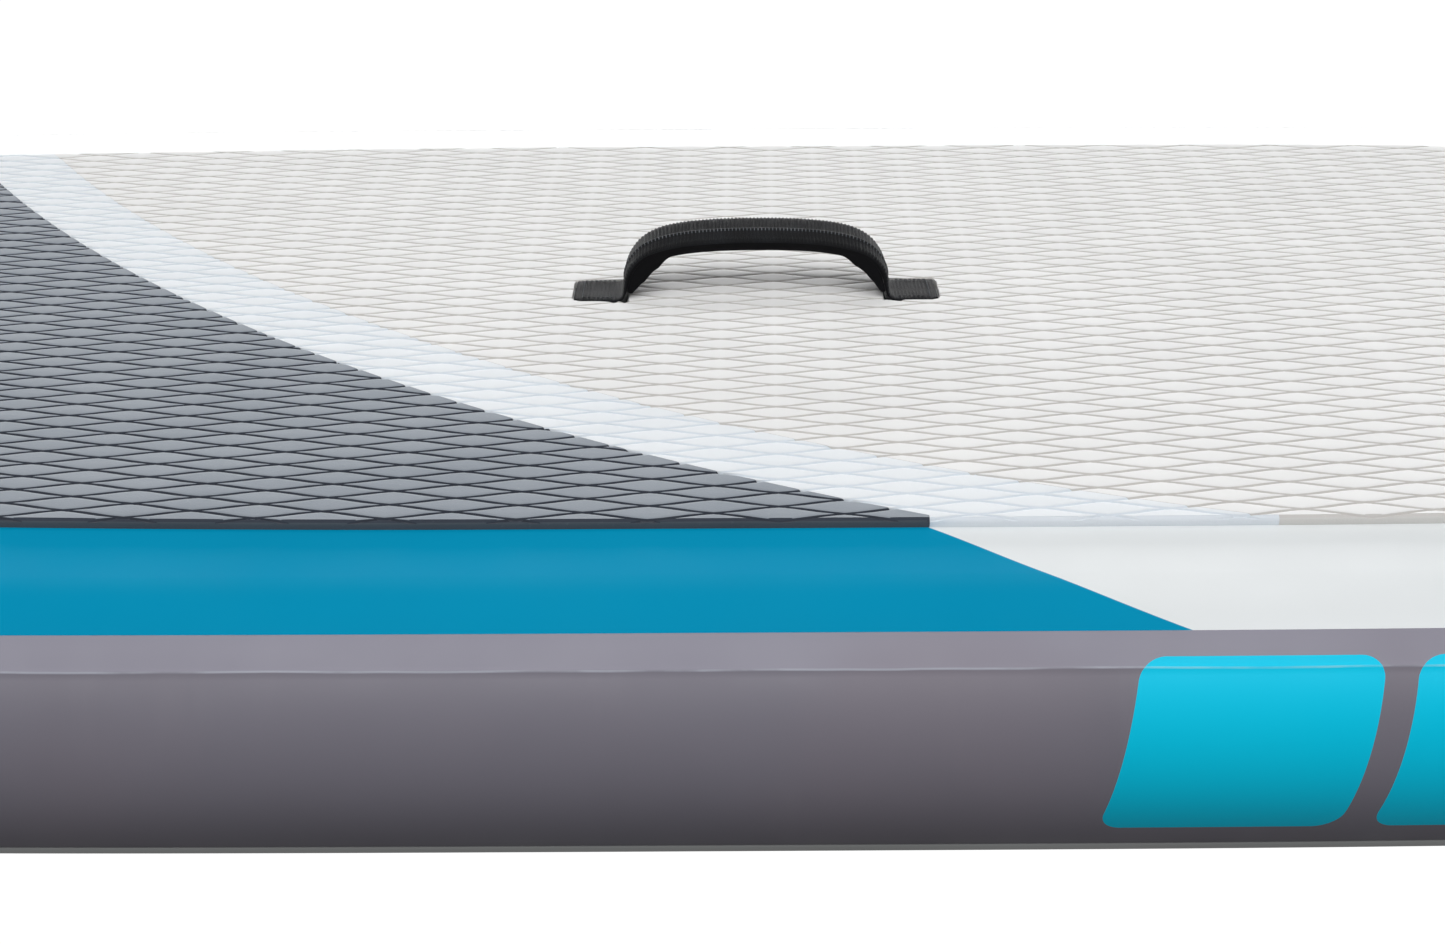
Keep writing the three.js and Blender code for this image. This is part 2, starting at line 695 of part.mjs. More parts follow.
// The box is a moulded block: a foot, a narrower body, and a long slot with side grooves.
const boxFoot = box(270, 84, 3, 0, 0, BOX_TOP - 1.5);
const boxBody = box(250, 26, 22.6, 0, 0, -15.9);
const slotCut = box(236, 2 * SLOT_HALF_WIDTH, 30, 0, 0, -20.6);
const grooveCut = box(236, 2 * SLOT_HALF_WIDTH + 6, 5.2, 0, 0, -15);
const blockSolid = solidOf(boxFoot).add(solidOf(boxBody));
const slotted = blockSolid.subtract(solidOf(slotCut)).subtract(solidOf(grooveCut));
add('fin_box', geometryFrom(slotted), blackPlastic, finMount);

// A fin drawn in (x, z), thick at its root and thin from below rootZ.
function bladeGeometry(outlinePoints, thickness, rootThickness, rootZ) {
  const flat = outlinePoints.map(([x, z]) => new THREE.Vector2(x, z));
  const faces = THREE.ShapeUtils.triangulateShape(flat, []);
  const count = flat.length;
  const points = [1, -1].flatMap((side) =>
    outlinePoints.map(([x, z]) => [x, (side * (z < rootZ ? thickness : rootThickness)) / 2, z]));
  const sides = [];
  for (let i = 0; i < count; i += 1) {
    const j = (i + 1) % count;
    sides.push([i, i + count, j], [j, i + count, j + count]);
  }
  const caps = faces.flatMap(([a, b, c]) => [[a, b, c], [a + count, c + count, b + count]]);
  return sealed(points, sides, caps);
}

const finOutline = [
  [92, -6.2], [92, -22], [112, -22], [112, -27.6], [94, -27.6], [92, -32], [84, -62], [66, -104], [36, -148],
  [-4, -186], [-52, -212], [-92, -222], [-100, -215], [-92, -196], [-78, -164], [-70, -128],
  [-68, -92], [-70, -58], [-76, -30], [-76, -6.2],
];
const pinX = -60;
const nutX = 103;
const grooveZ = -15;
const pinHole = new THREE.CylinderGeometry(2.06, 2.06, 20, 16).translate(pinX, 0, grooveZ);
const screwHole = cylinder(2.9, 20, nutX, 0, -25, 16);
const blade = bladeGeometry(finOutline, 6, 8.4, BOX_BOTTOM - 4);
add('centre_fin', cut(blade, pinHole, screwHole), blackPlastic, finMount);

// A brass pin across the rear of the fin's foot rides in the grooves of the box.
const finPin = new THREE.CylinderGeometry(2, 2, 14, 16).translate(pinX, 0, grooveZ);
add('fin_pin', finPin, brass, finMount);

// The front of the foot is held down by a screw into a square nut in the same grooves.
const nutBlock = box(12, 14.4, 4, nutX, 0, grooveZ);
const nutHole = cylinder(2.6, 10, nutX, 0, grooveZ, 16);
add('fin_nut', cut(nutBlock, nutHole), steel, finMount);
const screwHead = cylinder(7, 7, nutX, 0, -31.4, 18);
const screwShank = cylinder(2.5, 20, nutX, 0, -20, 16);
const screw = solidOf(screwHead).add(solidOf(screwShank));
add('fin_screw', geometryFrom(screw), steel, finMount);

// Two small side fins stand on pads of their own, bonded outboard of the centre fin.
const sideOutline = [
  [62, -3.2], [54, -24], [36, -50], [8, -74], [-28, -92], [-40, -88], [-34, -66], [-36, -40],
  [-42, -18], [-46, -3.2],
];
for (const [word, side] of [['port', 1], ['starboard', -1]]) {
  const holder = underHull(-1110);
  holder.position.y = side * 150;
  const footShape = new THREE.Shape();
  footShape.absellipse(8, 0, 74, 26, 0, 2 * Math.PI);
  const foot = new THREE.ExtrudeGeometry(footShape, {
    depth: 1.6, bevelEnabled: false, curveSegments: 10,
  }).translate(0, 0, -1.6);
  add(`${word}_side_fin_pad`, foot, greyPlastic, holder);
  const fin = bladeGeometry(sideOutline, 4.5, 7, -10).translate(0, 0, 1.2);
  add(`${word}_side_fin`, fin, blackPlastic, holder);
}

export default root;
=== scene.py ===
# Looks for the inflatable stand up paddleboard: hull fabric, grooved pad, webbing, rings, valve, fins.
#
# Lengths are in millimetres, as in the solids, and are turned into metres when a mesh is made.
# +X points to the nose, +Y to port, +Z up. The deck is drawn flat and then lifted by rise(x).

import math

import bpy
from mathutils import Matrix, Vector


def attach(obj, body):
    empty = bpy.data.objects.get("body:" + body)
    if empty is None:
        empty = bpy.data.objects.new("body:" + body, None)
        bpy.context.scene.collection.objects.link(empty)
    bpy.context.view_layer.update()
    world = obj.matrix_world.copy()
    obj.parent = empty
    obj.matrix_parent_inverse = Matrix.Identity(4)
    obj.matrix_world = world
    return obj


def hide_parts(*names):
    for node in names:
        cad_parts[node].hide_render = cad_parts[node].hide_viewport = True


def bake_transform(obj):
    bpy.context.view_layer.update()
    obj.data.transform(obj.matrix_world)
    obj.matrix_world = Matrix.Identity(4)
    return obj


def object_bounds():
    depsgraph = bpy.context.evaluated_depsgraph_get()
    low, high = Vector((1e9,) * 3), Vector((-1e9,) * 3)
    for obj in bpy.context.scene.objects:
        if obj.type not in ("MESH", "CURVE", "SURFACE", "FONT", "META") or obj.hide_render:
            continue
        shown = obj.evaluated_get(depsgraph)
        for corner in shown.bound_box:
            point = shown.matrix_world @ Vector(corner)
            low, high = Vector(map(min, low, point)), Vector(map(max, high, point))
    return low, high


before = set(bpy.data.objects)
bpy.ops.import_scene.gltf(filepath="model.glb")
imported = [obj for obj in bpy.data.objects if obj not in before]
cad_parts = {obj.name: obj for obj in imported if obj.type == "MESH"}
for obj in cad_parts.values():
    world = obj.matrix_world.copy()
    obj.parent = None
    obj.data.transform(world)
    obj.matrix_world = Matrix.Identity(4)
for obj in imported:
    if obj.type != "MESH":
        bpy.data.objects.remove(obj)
cad_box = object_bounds()

MM = 0.001

# ------------------------------------------------------------------ sizes shared with the solids

NOSE_X = 1600
TAIL_X = -1600
HALF_WIDTH = 419
RAIL_CENTRE_Z = 76
DECK_Z = 152
SKIN_RADIUS = 76
TAPE_RADIUS = 77.7
FLAT_HALF_LENGTH = NOSE_X - TAPE_RADIUS
FLAT_HALF_WIDTH = HALF_WIDTH - TAPE_RADIUS
FLAT_FROM_X = -900
FLAT_TO_X = 620
NOSE_RISE = 165
TAIL_RISE = 28


def half_flat(x):
    """Half the width of the flat deck at x."""
    length_power = 3.4 if x > 0 else 3.6
    width_power = 1.8 if x > 0 else 2.2
    left = max(0.0, 1 - abs(x / FLAT_HALF_LENGTH) ** length_power)
    return FLAT_HALF_WIDTH * left ** (1 / width_power)


def rise(x):
    """How far the nose and the tail curve upwards at x."""
    if x > FLAT_TO_X:
        return NOSE_RISE * ((x - FLAT_TO_X) / (NOSE_X - FLAT_TO_X)) ** 2
    if x < FLAT_FROM_X:
        return TAIL_RISE * ((FLAT_FROM_X - x) / (FLAT_FROM_X - TAIL_X)) ** 2
    return 0.0


# The solids follow the same curve in straight pieces between these places.
KNOTS = sorted(
    [NOSE_X, TAIL_X, FLAT_FROM_X, FLAT_TO_X]
    + [FLAT_HALF_LENGTH * math.cos(math.pi * i / 30) for i in range(31)]
)


def stepped_rise(x):
    """The rise of the solids, which the fittings stand on."""
    after = next(i for i, knot in enumerate(KNOTS) if knot > x)
    low, high = KNOTS[after - 1], KNOTS[after]
    share = (x - low) / (high - low)
    return (1 - share) * rise(low) + share * rise(high)


def smoothstep(low, high, value):
    t = min(1.0, max(0.0, (value - low) / (high - low)))
    return t * t * (3 - 2 * t)


# ------------------------------------------------------------------ materials

def srgb(red, green, blue):
    """A colour given as the 0 to 255 values of a paint chip."""
    def linear(channel):
        c = channel / 255
        return c / 12.92 if c <= 0.04045 else ((c + 0.055) / 1.055) ** 2.4
    return (linear(red), linear(green), linear(blue), 1.0)


class Look:
    """A node material with a Principled shader and short ways to add detail to it."""

    def __init__(self, name, colour, roughness, metallic=0.0, specular=0.5):
        self.material = bpy.data.materials.new(name)
        self.material.use_nodes = True
        self.nodes = self.material.node_tree.nodes
        self.links = self.material.node_tree.links
        self.shader = self.nodes["Principled BSDF"]
        self.shader.inputs["Base Color"].default_value = colour
        self.shader.inputs["Roughness"].default_value = roughness
        self.shader.inputs["Metallic"].default_value = metallic
        self.shader.inputs["Specular IOR Level"].default_value = specular
        self.colour = None
        self.base = colour
        self.height = None

    def node(self, kind):
        return self.nodes.new(kind)

    def link(self, out, into):
        self.links.new(out, into)

    def place(self):
        return self.node("ShaderNodeTexCoord").outputs["Object"]

    def noise(self, scale, detail=3.0, stretch=(1, 1, 1)):
        """Noise in object space: scale is in features for each metre."""
        mapping = self.node("ShaderNodeMapping")
        mapping.inputs["Scale"].default_value = stretch
        self.link(self.place(), mapping.inputs["Vector"])
        noise = self.node("ShaderNodeTexNoise")
        noise.inputs["Scale"].default_value = scale
        noise.inputs["Detail"].default_value = detail
        self.link(mapping.outputs["Vector"], noise.inputs["Vector"])
        return noise.outputs["Fac"]

    def between(self, value, low, high, to_low=0.0, to_high=1.0):
        """The value moved from the range low..high to the range to_low..to_high."""
        mapped = self.node("ShaderNodeMapRange")
        mapped.inputs["From Min"].default_value = low
        mapped.inputs["From Max"].default_value = high
        mapped.inputs["To Min"].default_value = to_low
        mapped.inputs["To Max"].default_value = to_high
        self.link(value, mapped.inputs["Value"])
        return mapped.outputs["Result"]

    def math(self, operation, first, second=0.0):
        """One operation on two values or sockets."""
        made = self.node("ShaderNodeMath")
        made.operation = operation
        for socket, value in zip(made.inputs, (first, second)):
            if isinstance(value, (int, float)):
                socket.default_value = value
            else:
                self.link(value, socket)
        return made.outputs["Value"]

    def tint(self, mask, colour):
        """Mixes another colour in where the mask is 1."""
        mix = self.node("ShaderNodeMix")
        mix.data_type = "RGBA"
        if self.colour is None:
            mix.inputs[6].default_value = self.base
        else:
            self.link(self.colour, mix.inputs[6])
        mix.inputs[7].default_value = colour
        self.link(mask, mix.inputs[0])
        self.colour = mix.outputs[2]
        self.link(self.colour, self.shader.inputs["Base Color"])
        return self

    def rough(self, value, low, high):
        self.link(self.between(value, 0.3, 0.7, low, high), self.shader.inputs["Roughness"])
        return self

    def bump(self, value, depth_mm, strength=1.0):
        made = self.node("ShaderNodeBump")
        made.inputs["Strength"].default_value = strength
        made.inputs["Distance"].default_value = depth_mm * MM
        self.link(value, made.inputs["Height"])
        if self.height is not None:
            self.link(self.height, made.inputs["Normal"])
        self.height = made.outputs["Normal"]
        self.link(self.height, self.shader.inputs["Normal"])
        return self


def coated_fabric(name, colour, shade, roughness=0.42, specular=0.45):
    """Reinforced PVC: a faint weave under a satin coat, low waves, and rubbed patches."""
    look = Look(name, colour, roughness, specular=specular)
    cloudy = look.noise(5, 4)
    look.tint(look.between(cloudy, 0.45, 0.75, 0, 0.5), shade)
    look.rough(look.noise(18, 5), roughness - 0.06, roughness + 0.1)
    look.bump(look.noise(9, 2, (0.35, 1, 1)), 0.5, 0.35)
    look.bump(look.noise(900, 2), 0.03, 0.5)
    return look


def foam(name, colour, shade, speck):
    """Closed-cell foam: velvety, with fine grain, clouding and a few specks."""
    look = Look(name, colour, 0.88, specular=0.22)
    look.tint(look.between(look.noise(14, 5), 0.4, 0.72, 0, 0.55), shade)
    look.tint(look.between(look.noise(420, 2), 0.62, 0.8, 0, 0.35), speck)
    look.shader.inputs["Sheen Weight"].default_value = 0.3
    look.shader.inputs["Sheen Roughness"].default_value = 0.5
    look.bump(look.noise(1100, 3), 0.2, 0.8)
    look.bump(look.noise(60, 3), 0.25, 0.3)
    return look


def webbing(name, colour, shade):
    """Woven nylon: a fine crossed weave, lighter on its raised crests."""
    look = Look(name, colour, 0.68, specular=0.2)
    look.tint(look.between(look.noise(60, 5), 0.45, 0.7, 0, 0.6), shade)
    fine = look.noise(1500, 2, (1, 3, 1))
    look.tint(look.between(fine, 0.55, 0.75, 0, 0.5), shade)
    look.bump(fine, 0.25, 0.7)
    look.shader.inputs["Sheen Weight"].default_value = 0.05
    return look


def moulded(name, colour, shade, roughness=0.5):
    """Moulded plastic: an even, finely grained surface."""
    look = Look(name, colour, roughness, specular=0.45)
    look.tint(look.between(look.noise(35, 4), 0.45, 0.75, 0, 0.5), shade)
    look.rough(look.noise(60, 4), roughness - 0.08, roughness + 0.1)
    look.bump(look.noise(700, 2), 0.05, 0.5)
    return look


def metal(name, colour, roughness):
    """Polished metal with fine scratches."""
    look = Look(name, colour, roughness, metallic=1.0)
    look.rough(look.noise(300, 3, (1, 8, 1)), roughness - 0.05, roughness + 0.15)
    look.bump(look.noise(900, 2, (1, 10, 1)), 0.02, 0.4)
    return look


WHITE = srgb(232, 236, 237)
BLUE = srgb(0, 144, 184)

white_fabric = coated_fabric("white_fabric", WHITE, srgb(214, 218, 218))
pale_tape = coated_fabric("pale_tape", srgb(222, 225, 224), srgb(205, 208, 206))
black_fabric = coated_fabric("black_fabric", srgb(34, 36, 38), srgb(52, 54, 56))
patch_fabric = coated_fabric("patch_fabric", srgb(120, 124, 128), srgb(104, 108, 112))
black_webbing = webbing("black_webbing", srgb(10, 11, 14), srgb(24, 27, 31))
black_thread = webbing("black_thread", srgb(40, 43, 46), srgb(70, 74, 78))
# Pale thread for the tab hems, and the painted highlight on the crests of the handle's seam.
pale_thread_and_highlight = webbing("pale_thread_and_highlight", srgb(74, 78, 83), srgb(122, 126, 130))
lining = coated_fabric("handle_lining", srgb(7, 7, 10), srgb(13, 14, 17), 0.6, 0.12)
grey_plastic = moulded("grey_plastic", srgb(132, 138, 142), srgb(116, 122, 126))
black_plastic = moulded("black_plastic", srgb(30, 32, 35), srgb(44, 47, 50), 0.42)
fin_plastic = moulded("fin_plastic", srgb(26, 28, 31), srgb(40, 43, 47), 0.38)
seal_rubber = moulded("seal_rubber", srgb(20, 20, 22), srgb(34, 34, 36), 0.6)
stainless = metal("stainless", srgb(205, 208, 210), 0.2)
brass = metal("brass", srgb(196, 164, 92), 0.3)
inner_cloth = foam("inner_cloth", srgb(216, 216, 212), srgb(200, 200, 196), srgb(228, 228, 226))


def deck_fabric():
    """The deck skin: blue aft of a printed line that sweeps across the board, white ahead of it.

    The UV map holds x and the distance across the deck from its centre line, in metres.
    """
    look = coated_fabric("deck_fabric", WHITE, srgb(222, 226, 226), 0.34)
    split = look.node("ShaderNodeSeparateXYZ")
    uv = look.node("ShaderNodeUVMap")
    uv.uv_map = "across"
    look.link(uv.outputs["UV"], split.inputs["Vector"])
    x = split.outputs["X"]
    across = split.outputs["Y"]
    # From the pad's starboard edge the line runs aft to port under the pad, and ahead to starboard
    # in a shallow curve that bends forward as it goes down the rail.
    edge = 0.295
    inboard = look.math("MAXIMUM", look.math("ADD", across, edge), 0)
    outboard = look.math("MAXIMUM", look.math("SUBTRACT", look.math("MULTIPLY", across, -1), edge), 0)
    curve = look.math("SUBTRACT", look.math("MULTIPLY", outboard, 103.85), 7.844)
    curve = look.math("ADD", look.math("MULTIPLY", curve, outboard), 1.373)
    ahead = look.math("ADD", look.math("MULTIPLY", curve, outboard), 0.0808)
    line = look.math("SUBTRACT", ahead, look.math("MULTIPLY", inboard, 1.245))
    behind = look.between(look.math("SUBTRACT", line, x), -0.0005, 0.0005)
    look.tint(behind, BLUE)
    mottled = look.math("MULTIPLY", behind, look.between(look.noise(6, 4), 0.42, 0.75, 0, 0.35))
    look.tint(mottled, srgb(0, 136, 175))
    # The printed blue is flatter than the bare white coat, which is glossier.
    look.link(look.between(behind, 0, 1, 0.5, 0.04), look.shader.inputs["Specular IOR Level"])
    satin = look.shader.inputs["Roughness"].links[0].from_socket
    flatter = look.math("ADD", satin, look.between(behind, 0, 1, 0, 0.25))
    look.link(flatter, look.shader.inputs["Roughness"])
    return look


# The row of bars printed on the rail, in metres. Turns are in hundreds of degrees from straight up.
BAR_FROM = 0.167
BAR_PITCH = 0.133
BAR_LENGTH = 0.117
BAR_COUNT = 5
BAR_ROUND = 0.012
BAR_MIDDLE = 0.735
BAR_ARC = 0.1356        # the length round the rail of a hundred degrees
BAR_HEIGHT = 0.0936
BAR_LEAN = 0.026


def rail_fabric():
    """The grey rail tape, with a plain row of slanted bars printed on it ahead of the middle.

    The UV map holds x in metres and the angle from straight up in hundreds of degrees.
    """
    look = coated_fabric("rail_fabric", srgb(127, 124, 135), srgb(117, 112, 121), 0.46)
    streaks = look.noise(16, 5, (1, 0.25, 0.25))
    look.tint(look.between(streaks, 0.58, 0.8, 0, 0.35), srgb(146, 143, 152))
    split = look.node("ShaderNodeSeparateXYZ")
    uv = look.node("ShaderNodeUVMap")
    uv.uv_map = "around"
    look.link(uv.outputs["UV"], split.inputs["Vector"])
    turn = split.outputs["Y"]
    # Above the ridge the tape is laid over the deck skin. There it is painted paler and bluer: a
    # painted highlight where the upper tape faces the light from above.
    look.tint(look.between(turn, 0.434, 0.426, 0, 0.75), srgb(148, 146, 160))
    look.tint(look.between(look.noise(7, 3), 0.5, 0.7, 0, 0.3), srgb(136, 128, 138))
    # Painted highlight: a thin, broken pale line along the ridge, which also shows, paler, over the
    # printed bars.
    wander = look.between(look.noise(10, 3, (1, 0.02, 0.02)), 0.3, 0.7, -0.0035, 0.0035)
    from_ridge = look.math("ABSOLUTE", look.math("SUBTRACT", look.math("ADD", turn, wander), 0.4315))
    broken = look.between(look.noise(26, 4, (1, 0.1, 0.1)), 0.38, 0.55, 0.25, 1)
    ridge_highlight = look.math("MULTIPLY", look.between(from_ridge, 0.0052, 0.002), broken)
    look.tint(ridge_highlight, srgb(166, 168, 180))
    lean = look.math("MULTIPLY", look.math("SUBTRACT", turn, BAR_MIDDLE), BAR_LEAN)
    along = look.math("SUBTRACT", look.math("ADD", split.outputs["X"], lean), BAR_FROM)
    from_middle = look.math("SUBTRACT", look.math("MODULO", along, BAR_PITCH), BAR_LENGTH / 2)
    # The distance outside a bar with rounded corners, along the rail and round it.
    past_end = look.math("ADD", look.math("ABSOLUTE", from_middle), BAR_ROUND - BAR_LENGTH / 2)
    height = look.math("MULTIPLY", look.math("SUBTRACT", turn, BAR_MIDDLE), BAR_ARC)
    past_side = look.math("ADD", look.math("ABSOLUTE", height), BAR_ROUND - BAR_HEIGHT / 2)
    end, side = look.math("MAXIMUM", past_end, 0), look.math("MAXIMUM", past_side, 0)
    squares = look.math("ADD", look.math("MULTIPLY", end, end), look.math("MULTIPLY", side, side))
    outside = look.math("SQRT", squares)
    bar = look.math("LESS_THAN", outside, BAR_ROUND)
    first = look.math("GREATER_THAN", along, 0)
    last = look.math("LESS_THAN", along, BAR_PITCH * BAR_COUNT)
    mask = look.math("MULTIPLY", bar, look.math("MULTIPLY", first, last))
    look.tint(mask, srgb(0, 212, 248))
    # The painted ridge highlight, carried over the printed bars.
    look.tint(look.math("MULTIPLY", mask, ridge_highlight), srgb(120, 218, 240))
    look.link(look.between(mask, 0, 1, 0.4, 0.16), look.shader.inputs["Specular IOR Level"])
    return look


deck_look = deck_fabric()
rail_look = rail_fabric()

dark_foam = foam("dark_foam", srgb(147, 154, 162), srgb(131, 139, 148), srgb(166, 171, 176))
# Painted shade: the groove looks are darker copies of each foam for the grooves and the pad's rounded
# rim; the dark and light ones hold some dirt too.
dark_groove_shade_and_dirt = foam("dark_foam_groove_shade_and_dirt", srgb(58, 63, 73), srgb(50, 55, 65), srgb(72, 78, 88))
# Painted shade: the edge looks are darker copies of each foam for the pad's cut sides and underside.
dark_edge_shade = foam("dark_foam_edge_shade", srgb(74, 81, 88), srgb(64, 71, 78), srgb(90, 97, 103))
ice_foam = foam("ice_foam", srgb(234, 238, 241), srgb(229, 234, 238), srgb(241, 244, 246))
ice_groove_shade = foam("ice_foam_groove_shade", srgb(225, 231, 237), srgb(219, 226, 233), srgb(231, 236, 241))
light_foam = foam("light_foam", srgb(238, 238, 237), srgb(232, 232, 231), srgb(244, 244, 243))
light_groove_shade_and_dirt = foam("light_foam_groove_shade_and_dirt", srgb(210, 207, 204), srgb(200, 197, 194), srgb(222, 220, 217))
light_edge_shade = foam("light_foam_edge_shade", srgb(214, 213, 210), srgb(205, 203, 200), srgb(224, 223, 220))


# ------------------------------------------------------------------ mesh helpers

def piece(name, points, faces, looks, face_looks=None, smooth_below=35, uv=None):
    """A mesh object from points in millimetres. uv is a map's name and a pair for each point."""
    mesh = bpy.data.meshes.new(name)
    mesh.from_pydata([(x * MM, y * MM, z * MM) for x, y, z in points], [], faces)
    for look in looks:
        mesh.materials.append(look.material)
    if face_looks:
        mesh.polygons.foreach_set("material_index", face_looks)
    if uv:
        map_name, pairs = uv
        layer = mesh.uv_layers.new(name=map_name)
        for loop in mesh.loops:
            layer.data[loop.index].uv = pairs[loop.vertex_index]
    mesh.shade_smooth()
    mesh.set_sharp_from_angle(angle=math.radians(smooth_below))
    mesh.update()
    made = bpy.data.objects.new(name, mesh)
    bpy.context.scene.collection.objects.link(made)
    face_outwards(made)
    return made


def face_outwards(made):
    """Turns the whole mesh over if it is inside out."""
    mesh = made.data
    mesh.calc_loop_triangles()
    corners = [vertex.co for vertex in mesh.vertices]
    volume = 0.0
    for triangle in mesh.loop_triangles:
        a, b, c = (corners[i] for i in triangle.vertices)
        volume += a.dot(b.cross(c))
    if volume < 0:
        mesh.flip_normals()


def bands(ring_count, ring_size, loop=False, open_ring=False):
    """Quads between neighbouring rings of points."""
    faces = []
    for i in range(ring_count if loop else ring_count - 1):
        following = (i + 1) % ring_count
        for j in range(ring_size - 1 if open_ring else ring_size):
            k = (j + 1) % ring_size
            faces.append((
                i * ring_size + j, i * ring_size + k,
                following * ring_size + k, following * ring_size + j,
            ))
    return faces


def tube(sections):
    """Points and faces of a closed solid through equal rings, with flat ends."""
    size = len(sections[0])
    points = [point for section in sections for point in section]
    faces = bands(len(sections), size)
    last = (len(sections) - 1) * size
    faces.append(tuple(range(size - 1, -1, -1)))
    faces.append(tuple(range(last, last + size)))
    return points, faces


def finish_piece(made, body, replaced=()):
    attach(made, body)
    if replaced:
        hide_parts(*replaced)


# ------------------------------------------------------------------ the hull's outline

STATIONS = 200
LOOP = 2 * STATIONS
port_edge = []
for i in range(STATIONS + 1):
    station_x = FLAT_HALF_LENGTH * math.cos(math.pi * i / STATIONS)
    port_edge.append((station_x, half_flat(station_x)))
edge_loop = port_edge + [(x, -y) for x, y in reversed(port_edge[1:-1])]

outward = []
for i in range(LOOP):
    before, after = edge_loop[i - 1], edge_loop[(i + 1) % LOOP]
    run = Vector((after[0] - before[0], after[1] - before[1])).normalized()
    outward.append((run.y, -run.x))


def rail_point(station, angle, radius):
    """A point on the rail: angle is in degrees from straight up."""
    i = station % LOOP
    x, y = edge_loop[i]
    reach = radius * math.sin(math.radians(angle))
    x += outward[i][0] * reach
    y += outward[i][1] * reach
    return (x, y, RAIL_CENTRE_Z + radius * math.cos(math.radians(angle)) + rise(x))


def across_deck(station, angle):
    """The distance from the centre line measured along the skin, in metres."""
    i = station % LOOP
    side = 1 if i <= STATIONS else -1
    return side * (abs(edge_loop[i][1]) + SKIN_RADIUS * math.radians(angle)) * MM


def spread(low, high, step):
    count = max(1, round((high - low) / step))
    return [low + (high - low) * i / count for i in range(count + 1)]


def wrapped_skin(name, look, angles, radii):
    """A skin that closes over the deck or the bottom and wraps round the shoulder of the rail."""
    inner, outer = radii
    profile = [(angle, inner) for angle in angles] + [(angle, outer) for angle in reversed(angles)]
    size = len(profile)
    points = []
    pairs = []
    for i in range(LOOP):
        for angle, radius in profile:
            point = rail_point(i, angle, radius)
            points.append(point)
            pairs.append((point[0] * MM, across_deck(i, angle)))
    faces = bands(LOOP, size, loop=True, open_ring=True)
    for column, turned in ((0, True), (size - 1, False)):
        strips = [[0, 1, LOOP - 1]]
        for i in range(1, STATIONS - 1):
            strips.append([i, i + 1, LOOP - i - 1, LOOP - i])
        strips.append([STATIONS - 1, STATIONS, STATIONS + 1])
        for strip in strips:
            corners = [(i % LOOP) * size + column for i in strip]
            faces.append(tuple(reversed(corners)) if turned else tuple(corners))
    return piece(name, points, faces, [look], uv=("across", pairs), smooth_below=50)


def rail_layer(name, look, first, last, outer_profile, inner_radius):
    """A strip round the rail between two stations. outer_profile is (angle, radius) pairs."""
    angles = [angle for angle, _ in outer_profile]
    inner = [(angle, inner_radius) for angle in reversed(angles[1:-1])]
    profile = outer_profile + [(angles[-1], inner_radius)] + inner + [(angles[0], inner_radius)]
    sections = []
    pairs = []
    for station in range(first, last + 1):
        section = [rail_point(station, angle, radius) for angle, radius in profile]
        sections.append(section)
        pairs += [(point[0] * MM, angle / 100) for point, (angle, _) in zip(section, profile)]
    points, faces = tube(sections)
    return piece(name, points, faces, [look], uv=("around", pairs), smooth_below=40)


deck_skin = wrapped_skin("deck_fabric_skin", deck_look, spread(0, 42.8, 3.5), (74.7, SKIN_RADIUS))
finish_piece(deck_skin, "hull", ["deck_skin"])
bottom_skin = wrapped_skin(
    "bottom_fabric_skin", white_fabric, spread(180, 137.2, 3.5), (74.7, SKIN_RADIUS))
finish_piece(bottom_skin, "hull", ["bottom_skin"])

# The tape rides over the edge of the deck skin, which raises a thin ridge along it.
RIDGE_ANGLE = 43
tape_profile = [(29.0, 76.4), (29.15, 77.3), (29.5, TAPE_RADIUS)]
tape_profile += [(angle, TAPE_RADIUS) for angle in spread(32, 41, 3)]
tape_profile += [(RIDGE_ANGLE - 0.8, 77.8), (RIDGE_ANGLE - 0.3, 78.0), (RIDGE_ANGLE + 0.3, 78.0)]
tape_profile += [(RIDGE_ANGLE + 0.9, TAPE_RADIUS)]
tape_profile += [(angle, TAPE_RADIUS) for angle in spread(46, 121.6, 3.5)]
tape_profile += [(122.2, 77.4), (122.4, 76.4)]

PATCH_STATIONS = 20      # half the length of the patches over the nose and the tail
for name, first, last, node in (
    ("port_rail_fabric", PATCH_STATIONS, STATIONS - PATCH_STATIONS, "port_rail_tape"),
    ("tail_patch_fabric", STATIONS - PATCH_STATIONS, STATIONS + PATCH_STATIONS, "tail_rail_patch"),
    ("starboard_rail_fabric", STATIONS + PATCH_STATIONS, LOOP - PATCH_STATIONS, "starboard_rail_tape"),
    ("nose_patch_fabric", LOOP - PATCH_STATIONS, LOOP + PATCH_STATIONS, "nose_rail_patch"),
):
    layer = rail_layer(name, rail_look, first, last, tape_profile, 76.1)
    finish_piece(layer, "hull", [node])

seam_profile = [(122.6, 76.4), (122.8, 77.5)]
seam_profile += [(angle, TAPE_RADIUS) for angle in spread(123.5, 150, 4)]
seam_profile += [(150.8, 77.4), (151, 76.4)]
for name, first, last, node in (
    ("port_bottom_fabric", 0, STATIONS, "port_bottom_tape"),
    ("starboard_bottom_fabric", STATIONS, LOOP, "starboard_bottom_tape"),
):
    layer = rail_layer(name, pale_tape, first, last, seam_profile, 76.1)
    finish_piece(layer, "hull", [node])

# ------------------------------------------------------------------ the grooved deck pad

DIAMOND_LENGTH = 68.4
DIAMOND_WIDTH = 14.2
DIAMOND_MIDDLE = (217.1, -119.7)      # a diamond's middle, along and across the rows
ROW_TURN = math.radians(-1.1)         # the rows lie at a slight angle to the board
EDGE_STEPS = 4                        # straight pieces in each of a diamond's four wavy edges
PAD_UNDER_Z = DECK_Z + 0.05
PAD_TOP_Z = DECK_Z + 5
GROOVE_Z = PAD_TOP_Z - 1.7
